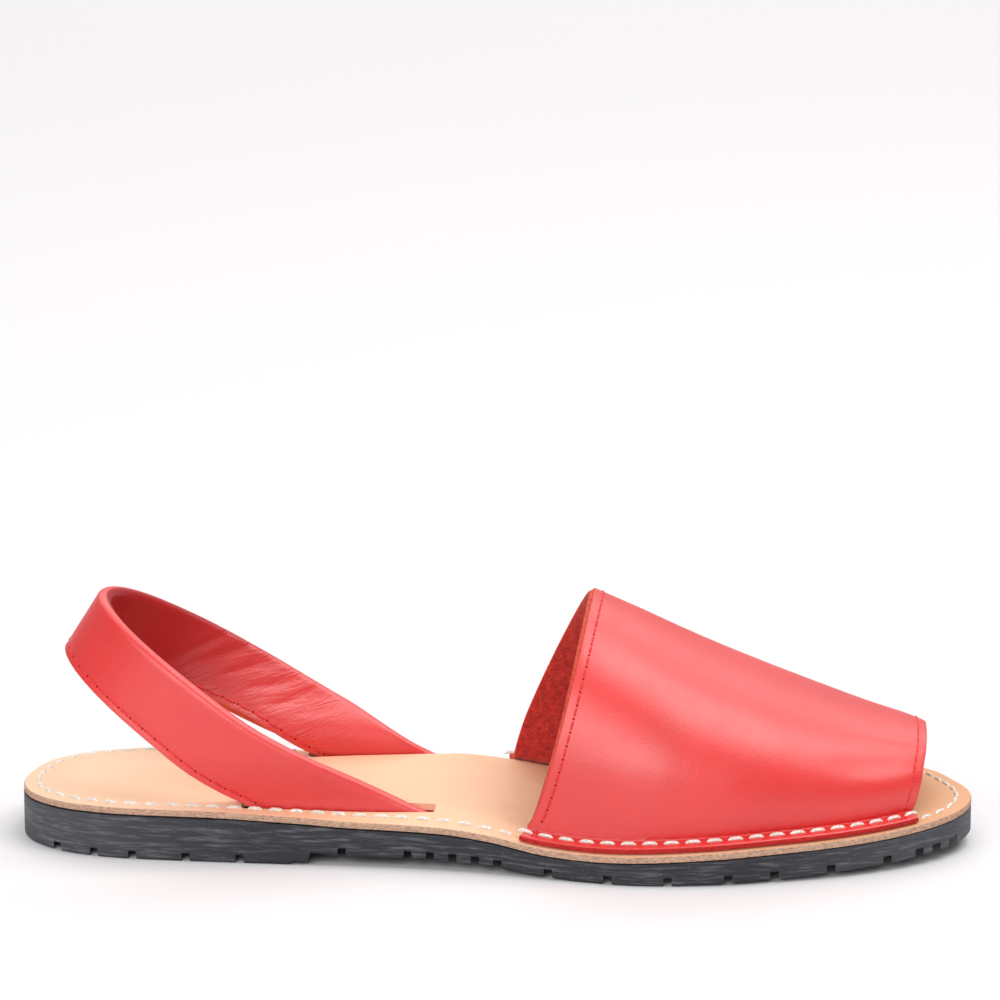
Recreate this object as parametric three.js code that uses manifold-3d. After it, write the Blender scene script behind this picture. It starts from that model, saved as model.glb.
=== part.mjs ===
// Avarca sandal for the right foot: rubber sole, leather footbed, open-toed vamp and folded heel strap.
// Millimetres. +X runs to the toe, +Z is up, the wearer's outer side is at -Y.
// The origin is on the floor, halfway along the sandal.
import * as THREE from "three";
import Module from "manifold-3d";

const wasm = await Module();
wasm.setup();

// Whole sandal
const LENGTH = 256;
const BALL = 48; // half of the widest part of the forefoot
const HEEL = 12; // rubber height at the heel
const STRAP_TOP = 58; // middle of the strap behind the heel
const GAP = 0.3; // pieces that meet

// Rubber sole
const HEEL_BLOCK = 0.3164 * LENGTH; // from the heel end to the step in front of the heel
const HEEL_REST = 0.297 * LENGTH; // the part of it that rests on the floor
const HEEL_NIP = 0.7;
const STEP_RUN = 0.6;
const SOLE_CORNER = 0.8;
const PROUD_AT_HEEL = 0.6; // rubber beyond the footbed
const PROUD_AT_TOE = -0.5;
const GROOVE_WIDTH = 2.2;
const GROOVE_DEPTH = 2;

// Leather footbed
const BED = 1.8;
const RIM = 10; // width of the rim that droops to the rubber
const SLOT_PLAY = 0.5; // either side of the strap in its slot
const SLOT_CORNER = 1;

// Vamp
const WALL = 1.8;
const RIM_SHOWN = 1.3; // footbed left bare outside the turned-out margin
const MARGIN = 5.2;
const CREASE = 1.2; // bend between margin and wall

// Heel strap
const STRAP = 20; // width
const STRAP_FOLD = 4; // thickness at the fold
const STRAP_RAW = 3.2; // thickness at the stitched edge
const STRAP_HALF = 0.642 * BALL; // half of the loop's width
const STRAP_LOOP = 0.176 * LENGTH; // length of the round end of the loop
const STRAP_SQUARE = 2.02;
const STRAP_START = 0.072 * LENGTH; // middle of the strap's thickness behind the heel
const STRAP_END = 0.492 * LENGTH;
const STRAP_DIP = 0.035 * BALL; // how much lower the loop lies on the outer side
const STRAP_NARROW = 0.07; // part of the width missing at the back of the heel
const STRAP_TURN = 0.6 * STRAP_FOLD; // bend below the slot
const STRAP_POCKET = 0.45; // clearance where the rubber takes the strap's ends
const STRAP_SPREAD = 14; // height in which it bulges out over the footbed
const STRAP_TILT = THREE.MathUtils.degToRad(40); // how far it leans in along the inner side
const TILT_FROM = 0.086 * LENGTH;
const TILT_TO = 0.25 * LENGTH;
const STRAP_RISE = 0.022 * STRAP_TOP; // how much higher its inner side lies where it starts to lean
const RISE_FROM = 0.117 * LENGTH;
const SLOPE_STEP = 1; // either side of the place where its slope is measured

// The strap's slots: their middle line from the rear end to the front end, along as a share of LENGTH
// and across, from the middle of the foot, as a share of BALL
const SLOTS = {
  outer: { from: 0.245, to: 0.446, fromAcross: 0.571, toAcross: 0.571 },
  inner: { from: 0.292, to: 0.446, fromAcross: 0.44, toAcross: 0.607 },
};

// Half widths of the sandal as shares of BALL, at shares of LENGTH from the heel end
const OUTLINE = [
  { along: 0, outer: 0.04, inner: -0.04 },
  { along: 0.023, outer: 0.394, inner: 0.4 },
  { along: 0.074, outer: 0.594, inner: 0.573 },
  { along: 0.129, outer: 0.667, inner: 0.646 },
  { along: 0.254, outer: 0.708, inner: 0.68 },
  { along: 0.39, outer: 0.735, inner: 0.712 },
  { along: 0.488, outer: 0.792, inner: 0.785 },
  { along: 0.574, outer: 0.908, inner: 0.89 },
  { along: 0.664, outer: 0.992, inner: 0.975 },
  { along: 0.73, outer: 0.965, inner: 1 },
  { along: 0.809, outer: 0.854, inner: 0.99 },
  { along: 0.871, outer: 0.729, inner: 0.94 },
  { along: 0.918, outer: 0.596, inner: 0.86 },
  { along: 0.965, outer: 0.396, inner: 0.615 },
  { along: 0.984, outer: 0.27, inner: 0.385 },
  { along: 1, outer: -0.04, inner: 0.04 },
];

// Heights as shares of HEEL: top of the rubber at its edge, underside of the rubber, swell of the footbed
const PROFILE = [
  { along: 0, seat: 0.95, lift: 0.3, swell: 0.07 },
  { along: 0.09, seat: 0.985, lift: 0.3, swell: 0.07 },
  { along: 0.2, seat: 0.99, lift: 0.3, swell: 0.08 },
  { along: 0.3, seat: 0.92, lift: 0.3, swell: 0.17 },
  { along: 0.36, seat: 0.85, lift: 0.22, swell: 0.24 },
  { along: 0.45, seat: 0.805, lift: 0.215, swell: 0.26 },
  { along: 0.505, seat: 0.695, lift: 0.155, swell: 0.21 },
  { along: 0.56, seat: 0.52, lift: 0.055, swell: 0.115 },
  { along: 0.605, seat: 0.468, lift: 0, swell: 0.1 },
  { along: 0.67, seat: 0.51, lift: 0, swell: 0.1 },
  { along: 0.77, seat: 0.61, lift: 0.055, swell: 0.1 },
  { along: 0.87, seat: 0.692, lift: 0.13, swell: 0.09 },
  { along: 0.94, seat: 0.775, lift: 0.21, swell: 0.08 },
  { along: 1, seat: 0.89, lift: 0.3, swell: 0.07 },
];

// Grooves across the underside, as shares of LENGTH from the heel end
const GROOVES = [
  { from: 0.0492, pitch: 0.0414, count: 3 },
  { from: 0.1883, pitch: 0.0566, count: 2 },
  { from: 0.3516, pitch: 0.0684, count: 1 },
  { from: 0.42, pitch: 0.0234, count: 5 },
  { from: 0.5664, pitch: 0.0613, count: 4 },
  { from: 0.797, pitch: 0.0574, count: 3 },
  { from: 0.945, pitch: 0.0176, count: 3 },
];

// Ridge of the vamp: height as a share of THROAT_HEIGHT between throat (0) and toe opening (1)
const THROAT_HEIGHT = 66.2;
const RIDGE = [
  { along: 0, height: 1 },
  { along: 0.12, height: 0.927 },
  { along: 0.35, height: 0.781 },
  { along: 0.6, height: 0.641 },
  { along: 0.85, height: 0.518 },
  { along: 1, height: 0.461 },
];

// The vamp's ends as shares of LENGTH from the heel end. `bulge` is how far the arch swells past its
// foot and `middle` how far the ridge lies to the inner side, as shares of BALL.
const THROAT = { outer: 0.5438, ridge: 0.6008, inner: 0.5117, bulge: 0.083, middle: 0.104 };
const TOE_OPENING = { outer: 0.9355, ridge: 0.9516, inner: 0.9395, bulge: 0.017, middle: 0.083 };
// How late a throat edge moves forward as it climbs: below 1 it moves first and climbs after.
const LEAN = { outer: 0.72, inner: 1.15 };
// How square the arch is in section, from 2 for an ellipse.
const FULLNESS = { outer: 2.2, inner: 2.5 };

// Middle of the strap in side view: height as a share of STRAP_TOP, at shares of LENGTH from the heel end
const STRAP_FALL = [
  { along: 0.072, height: 1 },
  { along: 0.1563, height: 0.752 },
  { along: 0.2344, height: 0.516 },
  { along: 0.293, height: 0.364 },
  { along: 0.3516, height: 0.228 },
  { along: 0.4102, height: 0.098 },
  { along: 0.5078, height: -0.105 },
];

const smooth = THREE.MathUtils.smoothstep;
const mix = THREE.MathUtils.lerp;

// A smooth curve through a table's rows that never overshoots them. `spread` re-spaces the keys.
function through(rows, key, column, spread = (k) => k) {
  const x = rows.map((row) => spread(row[key]));
  const y = rows.map((row) => row[column]);
  const slope = x.slice(1).map((value, i) => (y[i + 1] - y[i]) / (value - x[i]));
  const tangent = x.map((value, i) => {
    if (i === 0) return slope[0];
    if (i === x.length - 1) return slope[i - 1];
    const [a, b] = [slope[i - 1], slope[i]];
    return a * b <= 0 ? 0 : (2 * a * b) / (a + b);
  });
  return (at) => {
    const t = THREE.MathUtils.clamp(spread(at), x[0], x[x.length - 1]);
    const i = Math.min(Math.max(x.findIndex((value) => value >= t) - 1, 0), x.length - 2);
    const run = x[i + 1] - x[i];
    const u = (t - x[i]) / run;
    const start = y[i] * (1 + 2 * u) * (1 - u) ** 2 + tangent[i] * run * u * (1 - u) ** 2;
    return start + y[i + 1] * u * u * (3 - 2 * u) + tangent[i + 1] * run * u * u * (u - 1);
  };
}

// Keys are spread like angles of a half turn, which makes both ends of the outline round.
const turn = (share) => Math.acos(THREE.MathUtils.clamp(1 - 2 * share, -1, 1));
const outerShare = through(OUTLINE, "along", "outer", turn);
const innerShare = through(OUTLINE, "along", "inner", turn);
const outerHalf = (s) => BALL * outerShare(s / LENGTH);
const innerHalf = (s) => BALL * innerShare(s / LENGTH);

const seatShare = through(PROFILE, "along", "seat");
const liftShare = through(PROFILE, "along", "lift");
const swellShare = through(PROFILE, "along", "swell");
const seat = (s) => HEEL * seatShare(s / LENGTH);
const waistLift = (s) => HEEL * liftShare(s / LENGTH);
const step = (s, from) => THREE.MathUtils.clamp((s - from) / STEP_RUN, 0, 1);
const lift = (s) => mix(HEEL_NIP * step(s, HEEL_REST), waistLift(s), step(s, HEEL_BLOCK));

const ridgeShare = through(RIDGE, "along", "height");
const strapShare = through(STRAP_FALL, "along", "height");
const strapHeight = (s) => STRAP_TOP * strapShare(s / LENGTH);

// The outline once round, as points from the heel end: along the outer side, back along the inner side.
const EDGE_STEPS = 90;
const edge = [];
for (let i = 0; i <= EDGE_STEPS; i++) {
  const s = (LENGTH * (1 - Math.cos((Math.PI * i) / EDGE_STEPS))) / 2;
  edge.push(new THREE.Vector2(s, -outerHalf(s)));
}
for (let i = EDGE_STEPS - 1; i > 0; i--) {
  const s = (LENGTH * (1 - Math.cos((Math.PI * i) / EDGE_STEPS))) / 2;
  edge.push(new THREE.Vector2(s, innerHalf(s)));
}

function edgeDistance(s, y) {
  const inside = y > -outerHalf(s) && y < innerHalf(s);
  if (!inside) return 0;
  let nearest = Infinity;
  edge.forEach((a, i) => {
    const b = edge[(i + 1) % edge.length];
    const run = b.x - a.x;
    const rise = b.y - a.y;
    const t = ((s - a.x) * run + (y - a.y) * rise) / (run * run + rise * rise);
    const share = THREE.MathUtils.clamp(t, 0, 1);
    nearest = Math.min(nearest, Math.hypot(s - a.x - share * run, y - a.y - share * rise));
  });
  return nearest;
}

// The outline moved inward by a distance, on one side (-1 outer, 1 inner): its y at s.
function inset(side, distance) {
  const points = edge.map((point, i) => {
    const before = edge[(i + edge.length - 1) % edge.length];
    const after = edge[(i + 1) % edge.length];
    const along = after.clone().sub(before).normalize();
    return new THREE.Vector2(point.x - along.y * distance, point.y + along.x * distance);
  });
  const half = points.slice(0, EDGE_STEPS + 1);
  const other = [points[0], ...points.slice(EDGE_STEPS).reverse()];
  const run = side < 0 ? half : other;
  return (s) => {
    const i = Math.max(1, run.findIndex((point, k) => k > 0 && point.x >= s));
    const [a, b] = [run[i - 1], run[i]];
    return mix(a.y, b.y, THREE.MathUtils.clamp((s - a.x) / (b.x - a.x), 0, 1));
  };
}

// Level between rubber and footbed, then the footbed's own faces.
const bedLevel = (s, y) =>
  seat(s) + HEEL * swellShare(s / LENGTH) * smooth(edgeDistance(s, y), 0, RIM);
const rubberTop = (s, y) => bedLevel(s, y) - GAP / 2;
const bedUnder = (s, y) => bedLevel(s, y) + GAP / 2;
const bedTop = (s, y) => bedUnder(s, y) + BED;

const at = (s, y, z) => new THREE.Vector3(s - LENGTH / 2, y, z);

// A closed solid through rings of equal length. Each ring is one face's points and then the opposite
// face's points in reverse, so that point k lies opposite point size - 1 - k.
function loft(rings) {
  const size = rings[0].length;
  const last = (rings.length - 1) * size;
  const position = rings.flat().flatMap((point) => [point.x, point.y, point.z]);
  const index = [];
  for (let r = 0; r < last; r += size) {
    for (let k = 0; k < size; k++) {
      const next = (k + 1) % size;
      index.push(r + k, r + next, r + k + size, r + next, r + next + size, r + k + size);
    }
  }
  for (let k = 0; k < size / 2 - 1; k++) {
    const across = size - 1 - k;
    index.push(k, across, k + 1, k + 1, across, across - 1);
    index.push(last + k, last + k + 1, last + across, last + k + 1, last + across - 1, last + across);
  }
  const geometry = new THREE.BufferGeometry();
  geometry.setAttribute("position", new THREE.Float32BufferAttribute(position, 3));
  geometry.setIndex(index);
  return geometry;
}

function toSolid(geometry) {
  const mesh = new wasm.Mesh({
    numProp: 3,
    vertProperties: Float32Array.from(geometry.getAttribute("position").array),
    triVerts: Uint32Array.from(geometry.getIndex().array),
  });
  mesh.merge();
  const solid = new wasm.Manifold(mesh);
  return solid.volume() < 0 ? flipped(geometry) : solid;
}

function flipped(geometry) {
  const index = Array.from(geometry.getIndex().array).reverse();
  geometry.setIndex(index);
  return toSolid(geometry);
}

function toGeometry(solid) {
  const mesh = solid.getMesh();
  const geometry = new THREE.BufferGeometry();
  const position = Array.from({ length: mesh.numVert }, (unused, i) =>
    Array.from(mesh.vertProperties.slice(i * mesh.numProp, i * mesh.numProp + 3)),
  ).flat();
  geometry.setAttribute("position", new THREE.Float32BufferAttribute(position, 3));
  geometry.setIndex(Array.from(mesh.triVerts));
  return geometry;
}

function box(from, to) {
  const size = to.clone().sub(from);
  const geometry = new THREE.BoxGeometry(size.x, size.y, size.z);
  const middle = from.clone().add(to).multiplyScalar(0.5);
  geometry.translate(middle.x, middle.y, middle.z);
  return toSolid(geometry);
}

// Stations along the sandal, close together at its round ends and at the heel step.
const STATIONS = 48;
const ENDS = 0.024;
const stations = Array.from({ length: STATIONS + 1 }, (unused, i) => {
  const angle = mix(ENDS, Math.PI - ENDS, i / STATIONS);
  return (LENGTH * (1 - Math.cos(angle))) / 2;
});
const steps = [HEEL_REST, HEEL_BLOCK].flatMap((s) => [s, s + STEP_RUN]);
const steppedStations = [...stations, ...steps].sort((a, b) => a - b);

// Shares of the width at which a cross-section of the sole is measured.
const ACROSS = [0, 0.05, 0.12, 0.2, 0.34, 0.66, 0.8, 0.88, 0.95, 1];
const across = (s, proud = 0) =>
  ACROSS.map((share) => mix(-outerHalf(s) - proud, innerHalf(s) + proud, share));

function outsoleSection(s) {
  const ys = across(s, mix(PROUD_AT_HEEL, PROUD_AT_TOE, s / LENGTH));
  const corner = Math.min(SOLE_CORNER, (ys[1] - ys[0]) / 2);
  const top = ys.map((y) => at(s, y, rubberTop(s, y)));
  const under = ys.map((y, i) => {
    const out = i === 0 || i === ys.length - 1;
    return at(s, y, lift(s) + (out ? SOLE_CORNER : 0));
  });
  under[1].y = ys[0] + corner;
  under[ys.length - 2].y = ys[ys.length - 1] - corner;
  return [...top, ...under.reverse()];
}

function bedSection(s) {
  const ys = across(s);
  const top = ys.map((y) => at(s, y, bedTop(s, y)));
  const under = ys.map((y) => at(s, y, bedUnder(s, y)));
  return [...top, ...under.reverse()];
}

// The strap's loop in plan: half its width at s, round behind the heel, straight along the sides.
function loopPoint(turned) {
  const angle = (turned * Math.PI) / 2;
  const power = 2 / STRAP_SQUARE;
  return {
    s: STRAP_START + STRAP_LOOP * (1 - Math.cos(angle) ** power),
    half: STRAP_HALF * Math.sin(angle) ** power,
  };
}

// Middle of the strap's thickness. `run` goes from one end (-1) over the heel (0) to the other (1),
// `w` across the strap, positive towards the fold.
const ROUND_SHARE = 0.42; // part of each half of the strap that is the round end
function strapMiddle(run, w) {
  const side = Math.sign(run) || 1;
  const slot = side < 0 ? SLOTS.outer : SLOTS.inner;
  const share = Math.abs(run);
  const turned = Math.min(share / ROUND_SHARE, 1);
  const straight = Math.max(share - ROUND_SHARE, 0) / (1 - ROUND_SHARE);
  const loop = loopPoint(turned);
  const middle = loop.s + straight * (STRAP_END - STRAP_START - STRAP_LOOP);
  const near = Math.max(middle, STRAP_START + SLOPE_STEP);
  const fall = strapHeight(near - SLOPE_STEP) - strapHeight(near + SLOPE_STEP);
  const lean = Math.atan(fall / (2 * SLOPE_STEP));
  const narrow = w > 0 ? STRAP_NARROW * Math.cos((turned * Math.PI) / 2) ** 2 : 0;
  const inner = side > 0 ? 1 : 0;
  const tilt = inner * STRAP_TILT * smooth(middle, TILT_FROM, TILT_TO);
  const below = STRAP / 2 - w; // from the fold
  const rise = (STRAP / 2 - below * Math.cos(tilt)) * (1 - 2 * narrow);
  const s = middle + rise * Math.sin(lean);
  const outward = (side * loop.half) / STRAP_HALF;
  const dip = (STRAP_DIP / 2) * (outward - outward ** 2) * (1 - straight) ** 2;
  const higher = inner * STRAP_RISE * smooth(middle, RISE_FROM, TILT_TO) * Math.cos(Math.PI * straight);
  const z = strapHeight(middle) + dip + higher + rise * Math.cos(lean);
  const slotShare = (s / LENGTH - slot.from) / (slot.to - slot.from);
  const slotY = BALL * mix(slot.fromAcross, slot.toAcross, Math.min(slotShare, 1));
  const level = (y) => bedUnder(s, side * y) - GAP - STRAP_FOLD / 2;
  const bend = level(slotY - STRAP_TURN) + STRAP_TURN;
  const above = z - bend;
  if (above >= 0) {
    const spread = smooth(above - BED - GAP, 0, STRAP_SPREAD);
    return at(s, side * mix(slotY, loop.half - below * Math.sin(tilt), spread), z);
  }
  const round = Math.min(-above, (STRAP_TURN * Math.PI) / 2);
  const angle = round / STRAP_TURN;
  const y = slotY - STRAP_TURN * (1 - Math.cos(angle)) - (-above - round);
  const flat = -above > round;
  return at(s, side * y, flat ? level(y) : bend - STRAP_TURN * Math.sin(angle));
}

// The strap's cross-section: a raw edge of two layers at -1, a round fold at 1.
const STRAP_SECTION = [
  { across: -1, thick: 0.9 },
  { across: -0.92, thick: 1 },
  { across: -0.7, thick: 1 },
  { across: -0.45, thick: 1 },
  { across: -0.2, thick: 1 },
  { across: 0.05, thick: 1 },
  { across: 0.3, thick: 1 },
  { across: 0.55, thick: 1 },
  { across: 0.8, thick: 1 },
  { across: 0.93, thick: 0.76 },
  { across: 1, thick: 0.3 },
];

function strapSolid(clearance = 0) {
  const steps = 60;
  const rings = [];
  for (let i = 0; i <= steps; i++) {
    const longer = i % steps === 0 ? clearance / STRAP_END : 0;
    const run = mix(-1, 1, i / steps) * (1 + longer);
    const faces = STRAP_SECTION.map((row) => {
      const w = row.across * (STRAP / 2 + clearance);
      const half = (row.thick * mix(STRAP_RAW, STRAP_FOLD, (row.across + 1) / 2)) / 2 + clearance;
      const centre = strapMiddle(run, w);
      const tangent = strapMiddle(run + 0.002, w).sub(strapMiddle(run - 0.002, w));
      const rise = strapMiddle(run, w + 0.1).sub(strapMiddle(run, w - 0.1));
      const normal = tangent.cross(rise).normalize().multiplyScalar(half);
      return { out: centre.clone().add(normal), in: centre.clone().sub(normal) };
    });
    rings.push([...faces.map((face) => face.out), ...faces.map((face) => face.in).reverse()]);
  }
  return toSolid(loft(rings));
}

// Middle of the vamp's thickness. `u` goes from throat (0) to toe opening (1), `v` from the outer
// margin's edge (-1) over the ridge (0) to the inner margin's edge (1).
const MARGIN_SHARE = 0.16;
const CREASE_SHARE = 0.06;
const creaseLine = { outer: inset(-1, RIM_SHOWN + MARGIN), inner: inset(1, RIM_SHOWN + MARGIN) };
const marginLine = { outer: inset(-1, RIM_SHOWN), inner: inset(1, RIM_SHOWN) };
const MARGIN_AHEAD = 2; // the margin's corners lie ahead of the crease in front and behind it at the throat

function vampMiddle(u, v) {
  const side = v < 0 ? "outer" : "inner";
  const sign = v < 0 ? -1 : 1;
  const footS = LENGTH * mix(THROAT[side], TOE_OPENING[side], u);
  const footY = creaseLine[side](footS);
  const edgeS = footS + mix(-MARGIN_AHEAD, MARGIN_AHEAD, u);
  const edgeY = marginLine[side](edgeS);
  const out = Math.hypot(edgeS - footS, edgeY - footY);
  const lying = (s, y) => bedTop(s, y) + GAP + WALL / 2;
  const flat = Math.max(0, (Math.abs(v) - 1 + MARGIN_SHARE) / MARGIN_SHARE);
  if (flat > 0) {
    const share = mix(CREASE / out, 1, flat);
    const [s, y] = [mix(footS, edgeS, share), mix(footY, edgeY, share)];
    return at(s, y, lying(s, y));
  }
  const bendStart = 1 - MARGIN_SHARE - CREASE_SHARE;
  const foot = lying(footS, footY);
  if (Math.abs(v) > bendStart) {
    const angle = (((1 - MARGIN_SHARE - Math.abs(v)) / CREASE_SHARE) * Math.PI) / 2;
    const share = (CREASE * (1 - Math.sin(angle))) / out;
    const [s, y] = [mix(footS, edgeS, share), mix(footY, edgeY, share)];
    return at(s, y, mix(lying(s, y), foot, Math.sin(angle)) + CREASE * (1 - Math.cos(angle)));
  }
  const angle = ((1 - Math.abs(v) / bendStart) * Math.PI) / 2;
  const power = 2 / FULLNESS[side];
  const climb = Math.sin(angle) ** power;
  const spread = Math.cos(angle) ** power;
  const ridge = THROAT_HEIGHT * ridgeShare(u) - WALL / 2;
  const bulge = BALL * mix(THROAT.bulge, TOE_OPENING.bulge, u) * Math.sin(2 * angle);
  const middle = BALL * mix(THROAT.middle, TOE_OPENING.middle, u);
  const ridgeS = LENGTH * mix(THROAT.ridge, TOE_OPENING.ridge, u);
  const s = mix(footS, ridgeS, climb ** LEAN[side]);
  return at(s, mix(middle, footY, spread) + sign * bulge, mix(foot + CREASE, ridge, climb));
}

// Where the vamp is measured between margin edge and margin edge.
const WALL_STEPS = 12;
const bendStart = 1 - MARGIN_SHARE - CREASE_SHARE;
const halfWay = [
  ...Array.from({ length: WALL_STEPS + 1 }, (unused, i) => (bendStart * i) / WALL_STEPS),
  bendStart + CREASE_SHARE / 2,
  bendStart + CREASE_SHARE,
  1 - MARGIN_SHARE / 2,
  1,
];
const VAMP_ACROSS = [...halfWay.slice(1).reverse().map((v) => -v), ...halfWay];

function vampSolid() {
  const steps = 20;
  const near = 0.004;
  const rings = [];
  for (let i = 0; i <= steps; i++) {
    const u = i / steps;
    const faces = VAMP_ACROSS.map((v) => {
      const ahead = vampMiddle(Math.min(u + near, 1), v).sub(vampMiddle(Math.max(u - near, 0), v));
      const to = vampMiddle(u, Math.min(v + near, 1));
      const sideways = to.sub(vampMiddle(u, Math.max(v - near, -1)));
      const normal = ahead.cross(sideways).normalize().multiplyScalar(WALL / 2);
      const centre = vampMiddle(u, v);
      return { out: centre.clone().add(normal), in: centre.clone().sub(normal) };
    });
    rings.push([...faces.map((face) => face.out), ...faces.map((face) => face.in).reverse()]);
  }
  return toSolid(loft(rings));
}

// A slot's tool: `deep` is how far below the footbed's underside it reaches.
function slotSolid(slot, side, deep) {
  const from = new THREE.Vector2(LENGTH * slot.from, side * BALL * slot.fromAcross);
  const to = new THREE.Vector2(LENGTH * slot.to, side * BALL * slot.toAcross);
  const middle = from.clone().add(to).multiplyScalar(0.5);
  const along = to.clone().sub(from);
  const long = along.length() / 2 - SLOT_CORNER;
  const wide = STRAP_FOLD / 2 + SLOT_PLAY - SLOT_CORNER;
  const shape = new THREE.Shape();
  [[long, -wide], [long, wide], [-long, wide], [-long, -wide]].forEach(([x, y], i) => {
    const start = ((i - 1) * Math.PI) / 2;
    shape.absarc(x, y, SLOT_CORNER, start, start + Math.PI / 2, false);
  });
  const options = { depth: 2 * HEEL, bevelEnabled: false, curveSegments: 3 };
  const geometry = new THREE.ExtrudeGeometry(shape, options);
  geometry.rotateZ(along.angle());
  geometry.translate(middle.x - LENGTH / 2, middle.y, bedUnder(middle.x, middle.y) - deep);
  const count = geometry.getAttribute("position").count;
  geometry.setIndex(Array.from({ length: count }, (unused, i) => i));
  return toSolid(geometry);
}

const slotSolids = (deep) => [slotSolid(SLOTS.outer, -1, deep), slotSolid(SLOTS.inner, 1, deep)];

function outsoleSolid() {
  const cuts = [strapSolid(STRAP_POCKET), ...slotSolids(GAP + STRAP_FOLD + STRAP_POCKET)];
  GROOVES.forEach((row) => {
    for (let i = 0; i < row.count; i++) {
      const s = LENGTH * (row.from + i * row.pitch);
      const top = lift(s) + GROOVE_DEPTH;
      const half = GROOVE_WIDTH / 2;
      cuts.push(box(at(s - half, -2 * BALL, -HEEL), at(s + half, 2 * BALL, top)));
    }
  });
  return toSolid(loft(steppedStations.map(outsoleSection))).subtract(wasm.Manifold.union(cuts));
}

function bedSolid() {
  return toSolid(loft(stations.map(bedSection))).subtract(wasm.Manifold.union(slotSolids(HEEL)));
}

const finish = (color, roughness) => new THREE.MeshStandardMaterial({ color, roughness, metalness: 0 });
const RUBBER = finish(0x34383d, 0.8);
const TAN = finish(0xe9bd92, 0.6);
const RED = finish(0xd23c3a, 0.42);

function piece(name, solid, material) {
  const mesh = new THREE.Mesh(toGeometry(solid), material);
  mesh.name = name;
  return mesh;
}

const sandal = new THREE.Group();
sandal.add(piece("outsole", outsoleSolid(), RUBBER));
sandal.add(piece("insole", bedSolid(), TAN));
sandal.add(piece("vamp", vampSolid(), RED));
sandal.add(piece("heel_strap", strapSolid(), RED));

export default sandal;
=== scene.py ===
"""Looks of a right avarca sandal: moulded rubber sole, tan footbed, red vamp and folded heel strap.

Everything is worked out in millimetres from the heel end (s), across (y) and up (z), and placed in
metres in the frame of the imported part: +X to the toe, the wearer's outer side at -Y, +Z up.
"""

import logging
import math
from dataclasses import dataclass, field, replace
from enum import Enum
from typing import Callable

import bpy
import numpy as np
from bpy.types import Material, Mesh, Node, NodeOutputs, NodeTree, Object
from mathutils import Matrix, Vector

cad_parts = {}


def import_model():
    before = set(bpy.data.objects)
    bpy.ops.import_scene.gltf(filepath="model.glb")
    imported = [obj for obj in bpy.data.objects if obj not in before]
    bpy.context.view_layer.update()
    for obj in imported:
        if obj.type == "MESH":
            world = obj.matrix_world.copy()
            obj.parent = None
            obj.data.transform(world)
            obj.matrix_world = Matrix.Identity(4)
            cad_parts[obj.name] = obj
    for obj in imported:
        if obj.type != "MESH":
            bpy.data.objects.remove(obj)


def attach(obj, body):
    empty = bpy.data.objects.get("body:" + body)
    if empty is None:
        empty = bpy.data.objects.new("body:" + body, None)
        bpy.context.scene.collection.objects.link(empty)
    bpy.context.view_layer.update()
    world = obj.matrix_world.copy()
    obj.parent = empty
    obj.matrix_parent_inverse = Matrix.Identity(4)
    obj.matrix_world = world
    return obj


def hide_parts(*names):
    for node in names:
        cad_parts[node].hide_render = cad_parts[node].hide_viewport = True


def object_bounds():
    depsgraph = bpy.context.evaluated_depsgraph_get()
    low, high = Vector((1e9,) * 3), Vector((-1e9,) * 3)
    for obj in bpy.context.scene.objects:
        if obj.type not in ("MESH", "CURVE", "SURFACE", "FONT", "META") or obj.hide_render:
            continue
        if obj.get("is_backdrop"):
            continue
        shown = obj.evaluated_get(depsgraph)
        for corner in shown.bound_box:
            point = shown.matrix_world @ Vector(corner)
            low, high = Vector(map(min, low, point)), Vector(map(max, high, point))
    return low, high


LOG = logging.getLogger("sandal")
MM = 0.001
MERGE = 1e-6
# Sizes in millimetres: whole length, half width at the ball, sole at the heel, strap's height.
LENGTH = 256.0
BALL = 48.0
HEEL = 12.0
STRAP_TOP = 58.0
# A small step in the vamp's map, and a distance from an edge that is beyond every worn corner.
NEAR = 0.004
WELL_INSIDE = 99.0
VECTOR, NUMBER, PAINT = "NodeSocketVector", "NodeSocketFloat", "NodeSocketColor"
Curve = Callable[[np.ndarray], np.ndarray]
Colour = tuple[float, float, float, float]
Socket = bpy.types.NodeSocket


class Side(Enum):
    """The two sides of the sandal."""

    OUTER = -1
    INNER = 1


class Slot(Enum):
    """Material slots of the record."""

    RUBBER = "rubber"
    TAN = "tan_leather"
    RED = "red_leather"


def through(keys: np.ndarray, values: np.ndarray) -> Curve:
    """A smooth curve through rows of a table that never overshoots them.

    Args:
        keys: rising places along the table.
        values: the table's values there.

    Returns:
        A function from places to values.
    """
    slope = np.diff(values) / np.diff(keys)
    tangent = np.empty_like(values)
    tangent[0], tangent[-1] = slope[0], slope[-1]
    before, after = slope[:-1], slope[1:]
    total = np.where(before * after > 0, before + after, 1)
    tangent[1:-1] = np.where(before * after > 0, 2 * before * after / total, 0)

    def value(at: np.ndarray) -> np.ndarray:
        """The curve's value at each place."""
        t = np.clip(at, keys[0], keys[-1])
        i = np.clip(np.searchsorted(keys, t, side="left") - 1, 0, len(keys) - 2)
        run = keys[i + 1] - keys[i]
        u = (t - keys[i]) / run
        start = values[i] * (1 + 2 * u) * (1 - u) ** 2 + tangent[i] * run * u * (1 - u) ** 2
        return start + values[i + 1] * u * u * (3 - 2 * u) + tangent[i + 1] * run * u * u * (u - 1)

    return value


def smoothstep(x: np.ndarray, low: float, high: float) -> np.ndarray:
    """Eases from 0 at low to 1 at high."""
    t = np.clip((x - low) / (high - low), 0, 1)
    return t * t * (3 - 2 * t)


def mix(a: np.ndarray, b: np.ndarray, t: np.ndarray) -> np.ndarray:
    """A straight blend from a to b."""
    return a + (b - a) * t


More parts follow.
